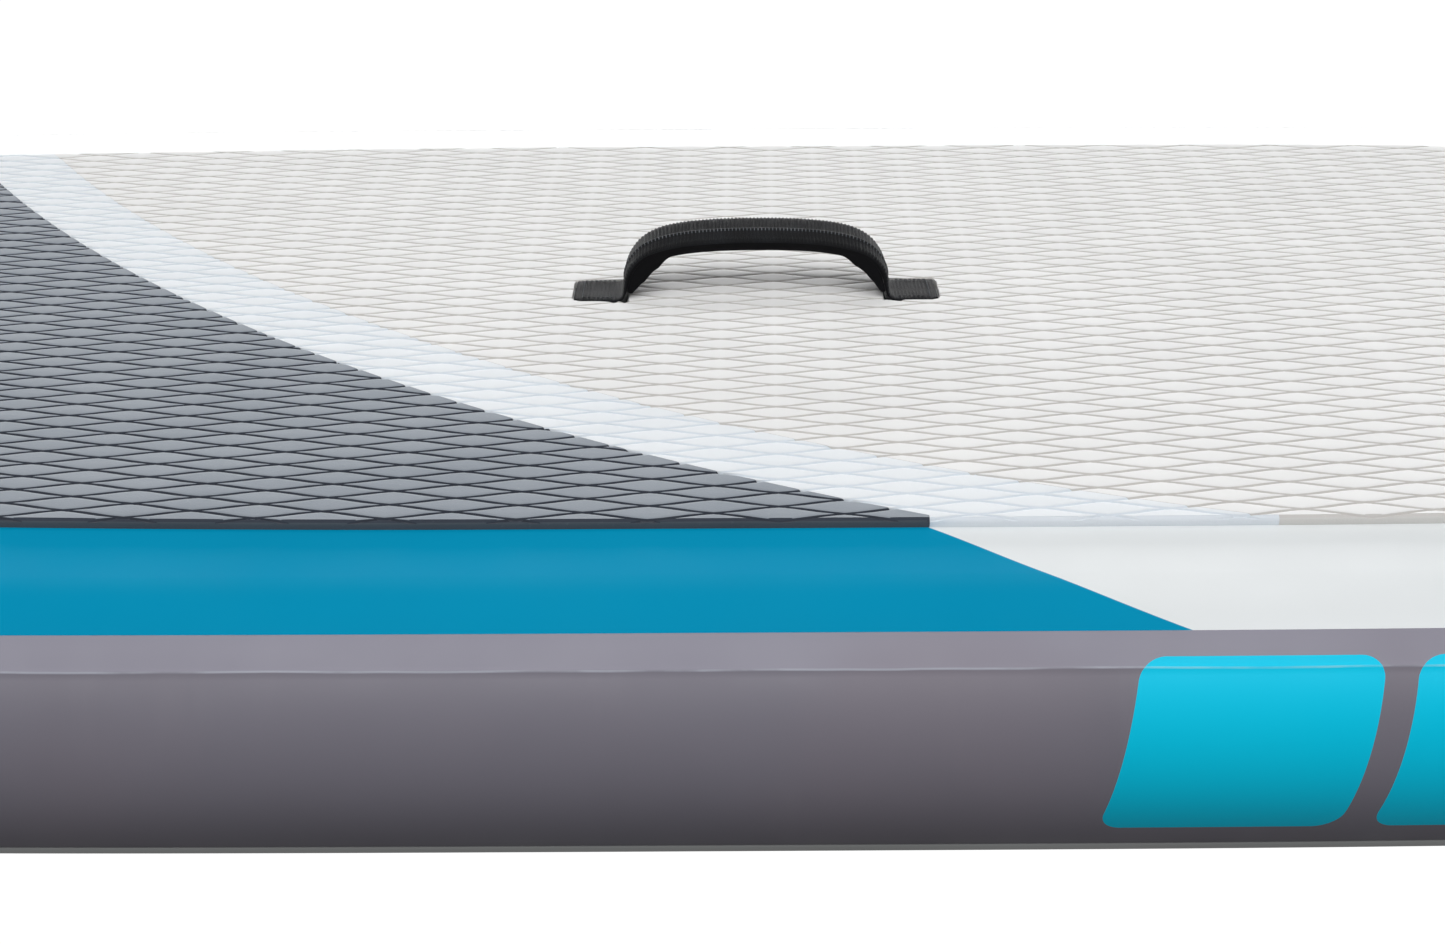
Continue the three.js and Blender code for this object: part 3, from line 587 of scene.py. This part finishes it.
# Each diamond as rings from its edge in the groove up to its crown: size and height.
DIAMOND_RINGS = [
    (1.0, GROOVE_Z), (0.92, GROOVE_Z), (0.85, PAD_TOP_Z - 0.4), (0.80, PAD_TOP_Z - 0.1),
    (0.66, PAD_TOP_Z),
]
PAD_INSET = 44
TAIL_TAPER = 6           # how much further in from the edge the pad stays towards the tail
PAD_TAIL_X = -1405
PAD_NOSE_X = 760
PAD_NOSE_ROUND = 260


def pad_half(x):
    """Half the width of the pad at x."""
    beside_rail = half_flat(x) - PAD_INSET - TAIL_TAPER * smoothstep(-150, -600, x)
    into_round = max(0.0, x - (PAD_NOSE_X - PAD_NOSE_ROUND)) / PAD_NOSE_ROUND
    return beside_rail * math.sqrt(max(0.04, 1 - 0.96 * into_round ** 3))


def diamond_ring():
    """Points round a diamond of half length 1 and half width 1, with edges that wave a little.

    The waves of neighbouring diamonds fit into each other.
    """
    quarter = []
    for step in range(EDGE_STEPS):
        along = 1 - step / EDGE_STEPS
        straight = 1 - along
        wave = (1 + math.cos(math.pi * along)) / 2
        quarter.append((along, 0.5 * straight + 0.5 * wave))
    second = [(-a, b) for a, b in reversed(quarter[1:])]
    upper = quarter + [(0.0, 1.0)] + second
    return upper + [(-a, -b) for a, b in upper]


def diamond_slab():
    """A closed slab under the whole pad, its top a lattice of diamonds between grooves."""
    half_x = DIAMOND_LENGTH / 2
    half_y = DIAMOND_WIDTH / 2
    middle_x, middle_y = DIAMOND_MIDDLE
    columns = range(math.floor((PAD_TAIL_X - middle_x) / half_x) - 2,
                    math.ceil((PAD_NOSE_X - middle_x) / half_x) + 3)
    rows = range(math.floor((-330 - middle_y) / half_y) - 2, math.ceil((330 - middle_y) / half_y) + 3)
    shape = diamond_ring()
    size_of_ring = len(shape)
    points = []
    faces = []
    face_looks = []
    shared = {}

    def put(along, across, z):
        x = along * math.cos(ROW_TURN) - across * math.sin(ROW_TURN)
        y = along * math.sin(ROW_TURN) + across * math.cos(ROW_TURN)
        points.append((x, y, z + rise(x)))
        return len(points) - 1

    def corner(a, b, z):
        key = (round(a * EDGE_STEPS), round(b * 1000), z)
        if key not in shared:
            shared[key] = put(middle_x + a * half_x, middle_y + b * half_y, z)
        return shared[key]

    outer_edges = {}
    for column in columns:
        for row in rows:
            if (column + row) % 2:
                continue
            around = [(column + a, row + b) for a, b in shape]
            rings = [[corner(a, b, GROOVE_Z) for a, b in around]]
            for size, z in DIAMOND_RINGS[1:]:
                inner_shape = [(column + a * size, row + b * size) for a, b in shape]
                rings.append([
                    put(middle_x + a * half_x, middle_y + b * half_y, z) for a, b in inner_shape
                ])
            for depth, (outer, inner) in enumerate(zip(rings, rings[1:])):
                for j in range(size_of_ring):
                    k = (j + 1) % size_of_ring
                    faces.append((outer[j], outer[k], inner[k], inner[j]))
                    # The groove's floor and walls take the second look, painted shade.
                    face_looks.append(1 if depth < 2 else 0)
            faces.append(tuple(rings[-1]))
            face_looks.append(0)
            under = [corner(a, b, PAD_UNDER_Z) for a, b in around]
            faces.append(tuple(reversed(under)))
            face_looks.append(2)
            for j in range(size_of_ring):
                k = (j + 1) % size_of_ring
                edge = frozenset((rings[0][j], rings[0][k]))
                if edge in outer_edges:
                    del outer_edges[edge]
                else:
                    outer_edges[edge] = (rings[0][k], rings[0][j], under[j], under[k])
    for wall in outer_edges.values():
        faces.append(wall)
        face_looks.append(2)
    return points, faces, face_looks


# A cutter for an upright hole: its height, and how far its outline is drawn in there.
STRAIGHT_SIDES = [(100, 0.0), (420, 0.0)]
# A cutter for a whole pad, which rounds off the pad's upper edge.
ROUNDED_SIDES = [
    (100, 0.0), (PAD_TOP_Z - 2.4, 0.0), (PAD_TOP_Z - 1.1, 0.7), (PAD_TOP_Z - 0.25, 2.2), (420, 2.6),
]


def drawn_in(point, inset):
    """The point, moved to at least the inset inside the pad's outer edge."""
    x = min(max(point[0], PAD_TAIL_X + inset), PAD_NOSE_X - inset)
    limit = pad_half(x) - inset
    return x, min(max(point[1], -limit), limit)


def prism(name, outline, levels, looks):
    """An upright prism over an outline, used as a cutter. Its side faces take the third look."""
    sections = []
    for z, inset in levels:
        section = [drawn_in(point, inset) if inset else point for point in outline]
        sections.append([(x, y, z + rise(x)) for x, y in section])
    points, faces = tube(sections)
    # The two lowest bands are the cut edge; the rounded ones above are in the second look. Both looks
    # are darker copies of the foam, painted shade.
    rounded = range(2 * len(outline), (len(levels) - 1) * len(outline))
    face_looks = [1 if i in rounded else 2 for i in range(len(faces))]
    return piece(name, points, faces, looks, face_looks=face_looks)


def cut(target, operation, outline, levels, looks):
    """Gives the target a new mesh, cut with an upright prism over the outline."""
    cutter = prism("cutter", outline, levels, looks)
    modifier = target.modifiers.new("cut", "BOOLEAN")
    modifier.operation = operation
    modifier.solver = "MANIFOLD"
    modifier.object = cutter
    evaluated = target.evaluated_get(bpy.context.evaluated_depsgraph_get())
    cut_mesh = bpy.data.meshes.new_from_object(evaluated)
    target.modifiers.clear()
    spent = (target.data, cutter.data)
    target.data = cut_mesh
    bpy.data.objects.remove(cutter)
    for mesh in spent:
        bpy.data.meshes.remove(mesh)


# The pad's two colour joints are arcs: the centre and the radius of each.
DARK_JOINT = (626.0, 1118.5, 1512.0)
LIGHT_JOINT = (614.5, 1089.5, 1429.5)
JOINT_GAP = 0.12


def joint_y(arc, x):
    centre_x, centre_y, radius = arc
    return centre_y - math.sqrt(max(0.0, radius ** 2 - (x - centre_x) ** 2))


def joint_end(arc, side):
    """Where an arc meets the pad's edge: side 1 is port and -1 starboard."""
    low, high = -900.0, 400.0
    for _ in range(50):
        middle = (low + high) / 2
        if joint_y(arc, middle) < side * pad_half(middle):
            high = middle
        else:
            low = middle
    return (low + high) / 2


dark_port, dark_starboard = joint_end(DARK_JOINT, 1), joint_end(DARK_JOINT, -1)
TIP_CUT = 11                       # how much of the dark foam's thin corner is cut off square
dark_tip = dark_starboard - TIP_CUT
light_port, light_starboard = joint_end(LIGHT_JOINT, 1), joint_end(LIGHT_JOINT, -1)


def along_edge(side, low, high, step=10):
    return [(x, side * pad_half(x)) for x in spread(low, high, step)]


def along_joint(arc, low, high, shift, step=12):
    return [(x, joint_y(arc, x) + shift) for x in spread(low, high, step)]


def without_repeats(points):
    """Drops points that repeat."""
    kept = []
    for point in points:
        if not kept or math.dist(point, kept[-1]) > 0.05:
            kept.append(point)
    if math.dist(kept[0], kept[-1]) < 0.05:
        kept.pop()
    return kept


tail_outline = without_repeats(
    along_edge(-1, PAD_TAIL_X, dark_tip - JOINT_GAP)
    + list(reversed(along_joint(DARK_JOINT, dark_port, dark_tip - JOINT_GAP, -JOINT_GAP)))
    + list(reversed(along_edge(1, PAD_TAIL_X, dark_port)))
)
stripe_outline = without_repeats(
    along_joint(DARK_JOINT, dark_port, dark_tip + JOINT_GAP, JOINT_GAP)
    + along_edge(-1, dark_tip + JOINT_GAP, light_starboard)
    + list(reversed(along_joint(LIGHT_JOINT, light_port, light_starboard, -JOINT_GAP)))
    + list(reversed(along_edge(1, dark_port, light_port)))
)
nose_outline = without_repeats(
    along_joint(LIGHT_JOINT, light_port, light_starboard, JOINT_GAP)
    + along_edge(-1, light_starboard, PAD_NOSE_X)
    + list(reversed(along_edge(1, light_port, PAD_NOSE_X)))
)

WEBBING_HALF = 15.5
TAB_HALF = 17.0
WEBBING_Y = 0.8


def window_outline(side):
    """The hole cut in the pad for one end of the handle, with rounded corners."""
    inner, outer = 84.5, 122.6
    low, high = WEBBING_Y - TAB_HALF - 1.2, WEBBING_Y + TAB_HALF + 1.2
    corner = 6.0
    outline = [(inner, low), (outer - corner, low), (outer - 1.7, low + 1.7), (outer, low + corner),
               (outer, high - corner), (outer - 1.7, high - 1.7), (outer - corner, high), (inner, high)]
    outline = [(side * x, y) for x, y in outline]
    return outline if side > 0 else list(reversed(outline))


DARK_LOOKS = [dark_foam, dark_groove_shade_and_dirt, dark_edge_shade]
ICE_LOOKS = [ice_foam, ice_groove_shade, ice_groove_shade]
LIGHT_LOOKS = [light_foam, light_groove_shade_and_dirt, light_edge_shade]
slab_points, slab_faces, slab_looks = diamond_slab()
for name, outline, looks, slot, node, windows in (
    ("tail_foam", tail_outline, DARK_LOOKS, "dark_foam", "tail_pad", ()),
    ("stripe_foam", stripe_outline, ICE_LOOKS, "ice_foam", "stripe_pad", ()),
    ("nose_foam", nose_outline, LIGHT_LOOKS, "light_foam", "nose_pad", (-1, 1)),
):
    foam_pad = piece(name, slab_points, slab_faces, looks, face_looks=slab_looks, smooth_below=20)
    cut(foam_pad, "INTERSECT", outline, ROUNDED_SIDES, looks)
    for side in windows:
        cut(foam_pad, "DIFFERENCE", window_outline(side), STRAIGHT_SIDES, looks)
    foam_pad.data.shade_smooth()
    foam_pad.data.set_sharp_from_angle(angle=math.radians(42))
    finish_piece(foam_pad, "hull", [node])

# ------------------------------------------------------------------ the carry handle

RIB_PITCH = 2.4
handle_route = [
    (120.6, 156.0), (111.0, 156.0), (100.0, 155.9), (93.0, 156.0), (89.2, 157.3), (87.0, 160.4),
    (85.6, 165.8), (83.8, 172.4), (80.2, 179.8), (73.4, 187.0), (63.0, 192.1), (48.0, 195.5),
    (30.0, 197.3), (12.0, 198.0),
]
full_route = handle_route + [(-x, z) for x, z in reversed(handle_route)]


def smooth_route(corners, step):
    """Points at even steps on a curve through the corners, with the distance run at each."""
    fine = []
    for i in range(len(corners) - 1):
        p0, p1, p2, p3 = (corners[min(max(i + k, 0), len(corners) - 1)] for k in (-1, 0, 1, 2))
        for j in range(24):
            t = j / 24
            fine.append(tuple(
                0.5 * (2 * b + (c - a) * t + (2 * a - 5 * b + 4 * c - d) * t * t
                       + (3 * b - a - 3 * c + d) * t ** 3)
                for a, b, c, d in zip(p0, p1, p2, p3)))
    fine.append(corners[-1])
    run = [0.0]
    for a, b in zip(fine, fine[1:]):
        run.append(run[-1] + math.dist(a, b))
    count = round(run[-1] / step)
    route = []
    k = 0
    for i in range(count + 1):
        wanted = run[-1] * i / count
        while k < len(run) - 2 and run[k + 1] < wanted:
            k += 1
        t = (wanted - run[k]) / (run[k + 1] - run[k])
        x = fine[k][0] + t * (fine[k + 1][0] - fine[k][0])
        z = fine[k][1] + t * (fine[k + 1][1] - fine[k][1])
        route.append((x, z, wanted))
    return route, run[-1]


def frames_along(route):
    """Each point of the route with the direction out of the strap's top face."""
    framed = []
    for i, (x, z, run) in enumerate(route):
        before = route[max(0, i - 1)]
        after = route[min(len(route) - 1, i + 1)]
        dx, dz = after[0] - before[0], after[1] - before[1]
        length = math.hypot(dx, dz)
        framed.append((x, z, run, (dz / length, -dx / length)))
    return framed


def strap_section(seam, rib):
    """The webbing's section, far edge first: flat, with a raised seam along its middle."""
    h = WEBBING_HALF
    return [
        (h + rib * 0.6, -0.4), (h - 0.4, 1.2 + rib), (h - 1.6, 2.2 + rib), (h - 4, 2.6 + rib),
        (1.2, 2.6 + rib), (-0.4, 2.8 + 0.4 * seam), (-2.0, 2.8 + seam), (-3.6, 2.8 + 0.4 * seam),
        (-5.2, 2.6 + rib), (-h + 2.8, 2.6 + rib), (-h + 1.2, 2.3 + rib), (-h + 0.2, 1.7 + rib * 0.8),
        (-h - 0.1, 0.9), (-h, -0.9), (h, -0.9),
    ]


SEAM_COLUMNS = (5, 6)     # the faces of the section where the seam's crests get a painted highlight
NEAR_SIDE_COLUMN = 12     # the face where the lining is folded up over the webbing's near edge
GRIP_LEAN = math.radians(9.0)


def leaned(section, x, z, out, from_end):
    """A section's points in place. The grip leans between its upright legs, near edge lower."""
    turn = GRIP_LEAN * smoothstep(46, 84, from_end)
    placed = []
    for u, v in section:
        across = u * math.cos(turn) - v * math.sin(turn)
        outwards = u * math.sin(turn) + v * math.cos(turn)
        placed.append((x + out[0] * outwards, across + WEBBING_Y, z + out[1] * outwards))
    return placed


route, route_length = smooth_route(full_route, RIB_PITCH / 4)
RIB_HEIGHTS = [0.0, 0.62, 0.62, 0.05]
strap_sections = []
strap_looks = []
for i, (x, z, run, out) in enumerate(frames_along(route)):
    from_end = min(run, route_length - run)
    seam = 1.2 * smoothstep(33, 45, from_end)
    flatten = 1 - 0.55 * (1 - smoothstep(30, 50, from_end))
    clip = 3.2 * max(0.0, 1 - from_end / 4.0)
    widen = 1 + (TAB_HALF / WEBBING_HALF - 1) * (1 - smoothstep(26, 40, from_end))
    widest = widen * (WEBBING_HALF + 0.3) - clip
    section = [(max(-widest, min(widest, u * widen)), v * flatten)
               for u, v in strap_section(seam, RIB_HEIGHTS[i % 4])]
    strap_sections.append(leaned(section, x, z, out, from_end))
    # Painted highlight: on each rib crest the seam's faces take the pale thread look.
    on_crest = i % 4 == 1
    for column in range(len(section)):
        if column in SEAM_COLUMNS and on_crest and seam:
            strap_looks.append(1)
        elif column == NEAR_SIDE_COLUMN and seam:
            strap_looks.append(2)
        else:
            strap_looks.append(0)
points, faces = tube(strap_sections)
strap_looks = strap_looks[:len(faces) - 2] + [0, 0]
strap = piece("handle_webbing", points, faces, [black_webbing, pale_thread_and_highlight, lining],
              face_looks=strap_looks, smooth_below=30)
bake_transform(strap)
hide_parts("handle_strap", "handle_tail_tab", "handle_nose_tab")

# The smooth lining under the grip fills the corners of the arch and thins towards its feet.
LINING_FROM = 37
lining_route = [(x, z, run) for x, z, run in route if LINING_FROM < min(run, route_length - run)]
lining_sections = []
for x, z, run, out in frames_along(lining_route):
    from_end = min(run, route_length - run)
    filled = smoothstep(LINING_FROM - 6, LINING_FROM + 16, from_end)
    thinned = smoothstep(LINING_FROM + 31, LINING_FROM + 47, from_end)
    wobble = 0.3 * math.sin(run / 9.0) + 0.15 * math.sin(run / 4.3)
    fullness = 8.2 - 1.8 * smoothstep(-20, 20, x)      # the nose end holds less
    corner_depth = (3.0 + (fullness + wobble) * filled) * (1 - thinned)
    edge = corner_depth + 5.3 * thinned
    middle = corner_depth + 8.6 * thinned
    shoulder = (edge + middle) / 2 + 0.6 * thinned
    full = WEBBING_HALF - 0.2
    ring = [(-full, -1.0), (-full - 0.2, -edge + 1.2), (-full + 0.8, -edge), (-full / 2, -shoulder),
            (0, -middle), (full / 2, -shoulder), (full - 0.8, -edge), (full + 0.2, -edge + 1.2),
            (full, -1.0)]
    lining_sections.append(leaned(ring, x, z, out, from_end))
points, faces = tube(lining_sections)
grip_lining = piece("handle_lining", points, faces, [lining], smooth_below=60)
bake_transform(grip_lining)
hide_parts("handle_padding")


def stitches(name, runs, thickness, look):
    """Short raised threads along each run of points, as one mesh of small pointed bars."""
    points = []
    faces = []
    for start, end in runs:
        a, b = Vector(start), Vector(end)
        along = (b - a).normalized()
        side = along.cross(Vector((0, 0, 1))).normalized() * thickness
        up = Vector((0, 0, thickness))
        base = len(points)
        for centre, size in ((a, 0.15), (a.lerp(b, 0.25), 1.0), (a.lerp(b, 0.75), 1.0), (b, 0.15)):
            for offset in (side, up, -side, -up):
                points.append(tuple(centre + offset * size))
        faces += [tuple(base + k for k in face) for face in bands(4, 4)]
        faces.append(tuple(base + k for k in (3, 2, 1, 0)))
        faces.append(tuple(base + 12 + k for k in (0, 1, 2, 3)))
    return piece(name, points, faces, [look], smooth_below=60)


def seam_runs(corners, pitch, z):
    """Stitches with small gaps along a line of corners in the XY plane."""
    runs = []
    for (x0, y0), (x1, y1) in zip(corners, corners[1:]):
        length = math.dist((x0, y0), (x1, y1))
        count = max(1, round(length / pitch))
        for i in range(count):
            s, e = (i + 0.12) / count, (i + 0.88) / count
            runs.append(((x0 + (x1 - x0) * s, y0 + (y1 - y0) * s, z),
                         (x0 + (x1 - x0) * e, y0 + (y1 - y0) * e, z)))
    return runs


for word, side in (("tail", -1), ("nose", 1)):
    low, high = WEBBING_Y - 14.0, WEBBING_Y + 14.0
    near, far = side * 94.0, side * 115.5
    rows = seam_runs([(near, low), (far, low)], 3.0, 157.7)
    rows += seam_runs([(near, high), (far, high)], 3.0, 157.7)
    finish_piece(stitches(f"{word}_tab_rows", rows, 0.35, black_thread), "hull")
    hem = seam_runs([(far, low), (far, high)], 2.4, 157.7)
    finish_piece(stitches(f"{word}_tab_hem", hem, 0.35, pale_thread_and_highlight), "hull")

# A base patch lies on the deck in each window of the pad.
for word, side in (("tail", -1), ("nose", 1)):
    inner, outer, low, high = 86.0, 122.0, WEBBING_Y - TAB_HALF - 0.6, WEBBING_Y + TAB_HALF + 0.6
    outline = [(inner, low), (outer - 5, low), (outer, low + 5), (outer, high - 5), (outer - 5, high),
               (inner, high)]
    outline = [(side * x, y) for x, y in outline]
    middle_x, middle_y = side * (inner + outer) / 2, WEBBING_Y
    drawn = [(middle_x + (x - middle_x) * 0.96, middle_y + (y - middle_y) * 0.96) for x, y in outline]
    points, faces = tube([
        [(x, y, DECK_Z + lift) for x, y in ring]
        for ring, lift in ((outline, 0.05), (outline, 1.2), (drawn, 1.6))
    ])
    patch = piece(f"{word}_handle_patch", points, faces, [black_fabric])
    finish_piece(patch, "hull", [f"handle_{word}_patch"])

# ------------------------------------------------------------------ places for the fittings


def deck_place(x, y, half_span, heading=0.0):
    """The matrix, in millimetres, of a fitting that stands on the deck of the solids."""
    front, back = stepped_rise(x + half_span), stepped_rise(x - half_span)
    tilt = math.atan((front - back) / (2 * half_span))
    origin = Vector((x, y, DECK_Z + (front + back) / 2 + 0.4))
    turned = Matrix.Rotation(-tilt, 4, "Y") @ Matrix.Rotation(heading, 4, "Z")
    return Matrix.Translation(origin) @ turned


def moved(points, place):
    return [tuple(place @ Vector(point)) for point in points]


# ------------------------------------------------------------------ rings on webbing loops

RING_WIRE = 2.5
RING_HALF_WIDTH = 17
RING_REACH = 24
LOOP_HALF_WIDTH = 11
BAR_Z = 6
PATCH_RADIUS = 34


def ring_route():
    """The middle line of a D-shaped ring: its straight bar lies along Y through the origin."""
    route = [Vector((0, y, 0)) for y in spread(-RING_HALF_WIDTH + 2.5, RING_HALF_WIDTH - 2.5, 4)]
    route = list(reversed(route))
    corner = 2.5
    for side in (-1, 1):
        curve = []
        for i in range(7):
            turn = math.pi / 2 * i / 6
            curve.append(Vector((corner * (1 - math.cos(turn)), side * (RING_HALF_WIDTH - corner
                                 + corner * math.sin(turn)), 0)))
        if side < 0:
            route += curve[1:]
            for i in range(1, 30):
                turn = -math.pi / 2 + math.pi * i / 30
                route.append(Vector((8 + (RING_REACH - 8) * math.cos(turn),
                                     RING_HALF_WIDTH * math.sin(turn), 0)))
        else:
            route += list(reversed(curve))[:-1]
    return route


def ring_mesh():
    route = ring_route()
    points = []
    sides = 16
    for i, centre in enumerate(route):
        along = (route[(i + 1) % len(route)] - route[i - 1]).normalized()
        across = Vector((along.y, -along.x, 0))
        for j in range(sides):
            turn = 2 * math.pi * j / sides
            offset = across * RING_WIRE * math.cos(turn) + Vector((0, 0, RING_WIRE * math.sin(turn)))
            points.append(tuple(centre + offset))
    return points, bands(len(route), sides, loop=True)


def loop_mesh():
    """A ribbed webbing loop: up from the patch, round the bar and back down on itself."""
    thickness = 1.3
    inner = RING_WIRE + 0.35
    middle_line = []
    for x in spread(-24, -7, 0.6):
        middle_line.append((x, 3.0 - BAR_Z + 0.4 * smoothstep(-10, -7, x)))
    for i in range(31):
        turn = math.radians(165 - 8.2 * i)
        radius = inner + thickness / 2
        middle_line.append((radius * math.cos(turn), radius * math.sin(turn)))
    for x in spread(-3, -24, 0.6)[1:]:
        middle_line.append((x, 1.6 - BAR_Z))
    sections = []
    for i, (x, z) in enumerate(middle_line):
        before = middle_line[max(0, i - 1)]
        after = middle_line[min(len(middle_line) - 1, i + 1)]
        dx, dz = after[0] - before[0], after[1] - before[1]
        length = max(1e-6, math.hypot(dx, dz))
        out = (-dz / length, dx / length)
        half = thickness / 2 + (0.14 if i % 4 < 2 else 0.0)
        w = LOOP_HALF_WIDTH
        ring = [(-w, -half + 0.3), (-w + 0.4, -half), (w - 0.4, -half), (w, -half + 0.3),
                (w, half - 0.3), (w - 0.4, half), (-w + 0.4, half), (-w, half - 0.3)]
        sections.append([(x + out[0] * v, u, z + out[1] * v) for u, v in ring])
    return tube(sections)


def patch_mesh(x, y, radius, height):
    """A round patch that follows the deck, thinner at its rim."""
    rings = [(radius, 0.05), (radius, 0.45 * height), (radius - 1.2, height)]
    rings += [(radius * share, height) for share in (0.75, 0.5, 0.25)]
    count = 48
    sections = []
    for reach, lift in rings:
        section = []
        for i in range(count):
            turn = 2 * math.pi * i / count
            px, py = x + reach * math.cos(turn), y + reach * math.sin(turn)
            section.append((px, py, DECK_Z + rise(px) + lift))
        sections.append(section)
    return tube(sections)


for name, x, y, heading in (
    ("cargo_front_port", 1180, 120, 0.0),
    ("cargo_front_starboard", 1180, -120, 0.0),
    ("cargo_rear_port", 850, 205, math.pi),
    ("cargo_rear_starboard", 850, -205, math.pi),
    ("tow", 1400, 0, 0.0),
    ("leash", -1470, 0, math.pi),
):
    place = deck_place(x, y, PATCH_RADIUS, heading) @ Matrix.Translation((0, 0, BAR_Z))
    points, faces = patch_mesh(x, y, PATCH_RADIUS, 1.7)
    finish_piece(piece(f"{name}_base", points, faces, [patch_fabric]), "hull",
                 [f"{name}_patch"])
    points, faces = loop_mesh()
    finish_piece(piece(f"{name}_webbing", moved(points, place), faces, [black_webbing]), "hull",
                 [f"{name}_loop"])
    points, faces = ring_mesh()
    finish_piece(piece(f"{name}_d_ring", moved(points, place), faces, [stainless], smooth_below=60),
                 f"{name}_ring", [f"{name}_ring"])

# ------------------------------------------------------------------ carried-over parts


def dress(node, look, bevel=0.0, segments=3):
    """Gives a CAD node its material and rounds its edges."""
    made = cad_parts[node]
    made.data.materials.clear()
    made.data.materials.append(look.material)
    if bevel:
        modifier = made.modifiers.new("rounded", "BEVEL")
        modifier.width = bevel * MM
        modifier.segments = segments
        modifier.limit_method = "ANGLE"
        modifier.angle_limit = math.radians(35)


dress("drop_stitch_core", inner_cloth)
dress("valve_body", grey_plastic, 0.4)
dress("valve_seal", seal_rubber, 0.2)
dress("valve_cap", grey_plastic, 0.4)
dress("valve_stem", black_plastic, 0.4)
dress("valve_tether", grey_plastic, 0.3)
dress("fin_base_pad", patch_fabric, 0.4)
dress("fin_box", black_plastic, 0.8)
dress("centre_fin", fin_plastic, 0.8)
dress("fin_pin", brass, 0.2)
dress("fin_nut", stainless, 0.3)
dress("fin_screw", stainless, 0.5)
for word in ("port", "starboard"):
    dress(f"{word}_sidewall", white_fabric)
    dress(f"{word}_side_fin_pad", patch_fabric, 0.4)
    dress(f"{word}_side_fin", fin_plastic, 0.8)

# ------------------------------------------------------------------ the studio

floor_mesh = bpy.data.meshes.new("floor")
FLOOR_SIZE = 60
FLOOR_Z = cad_box[0][2] - 0.002
floor_corners = [(x * FLOOR_SIZE, y * FLOOR_SIZE, FLOOR_Z)
                 for x, y in ((-1, -1), (1, -1), (1, 1), (-1, 1))]
floor_mesh.from_pydata(floor_corners, [], [(0, 1, 2, 3)])
floor = bpy.data.objects.new("floor", floor_mesh)
bpy.context.scene.collection.objects.link(floor)
floor_look = bpy.data.materials.new("studio_floor")
floor_look.use_nodes = True
floor_nodes = floor_look.node_tree.nodes
floor_nodes.clear()
glow = floor_nodes.new("ShaderNodeEmission")
glow.inputs["Color"].default_value = (1, 1, 1, 1)
glow.inputs["Strength"].default_value = 1.05
floor_out = floor_nodes.new("ShaderNodeOutputMaterial")
floor_look.node_tree.links.new(glow.outputs["Emission"], floor_out.inputs["Surface"])
floor_mesh.materials.append(floor_look)
floor.visible_diffuse = False
floor.visible_glossy = False
floor.visible_shadow = False

world = bpy.data.worlds.new("studio")
bpy.context.scene.world = world
world.use_nodes = True
world_nodes = world.node_tree.nodes
world_links = world.node_tree.links
background = world_nodes["Background"]
place = world_nodes.new("ShaderNodeTexCoord")
axes = world_nodes.new("ShaderNodeSeparateXYZ")
world_links.new(place.outputs["Generated"], axes.inputs["Vector"])
ramp = world_nodes.new("ShaderNodeValToRGB")
ramp.color_ramp.elements.new(0.5)
SKY_FROM_BELOW = ((0.32, 0.32, 0.32, 1), (0.30, 0.30, 0.31, 1), (0.40, 0.40, 0.41, 1))
for element, sky in zip(ramp.color_ramp.elements, SKY_FROM_BELOW):
    element.color = sky
upward = world_nodes.new("ShaderNodeMapRange")
upward.inputs["From Min"].default_value = -0.6
upward.inputs["From Max"].default_value = 0.8
world_links.new(axes.outputs["Z"], upward.inputs["Value"])
world_links.new(upward.outputs["Result"], ramp.inputs["Fac"])
world_links.new(ramp.outputs["Color"], background.inputs["Color"])
background.inputs["Strength"].default_value = 0.5


def softbox(name, location, target, size_x, size_y, power):
    light = bpy.data.lights.new(name, "AREA")
    light.shape = "RECTANGLE"
    light.size = size_x
    light.size_y = size_y
    light.energy = power
    made = bpy.data.objects.new(name, light)
    made.location = location
    made.rotation_euler = (Vector(target) - Vector(location)).to_track_quat("-Z", "Y").to_euler()
    made.visible_camera = False
    bpy.context.scene.collection.objects.link(made)


softbox("key", (0, -1.6, 2.9), (0, -0.1, 0.1), 4.6, 2.2, 88)
softbox("behind", (0, 6.0, 0.95), (0, 0.4, 0.15), 9.0, 1.6, 355)
softbox("above", (0, 1.5, 3.0), (0, 0.1, 0.15), 3.0, 1.5, 22)

camera_data = bpy.data.cameras.new("camera")
camera_data.lens = 41.93
camera_data.sensor_width = 36
camera_data.clip_end = 200
camera = bpy.data.objects.new("camera", camera_data)
camera.location = (-0.023, -1.042, 0.610)
PITCH_DOWN = 29.67
ROLL = -0.3
pitched = Matrix.Rotation(math.radians(90 - PITCH_DOWN), 4, "X")
camera.rotation_euler = (pitched @ Matrix.Rotation(math.radians(ROLL), 4, "Z")).to_euler()
bpy.context.scene.collection.objects.link(camera)
bpy.context.scene.camera = camera

bpy.context.scene.view_settings.view_transform = "Standard"
bpy.context.scene.view_settings.look = "None"
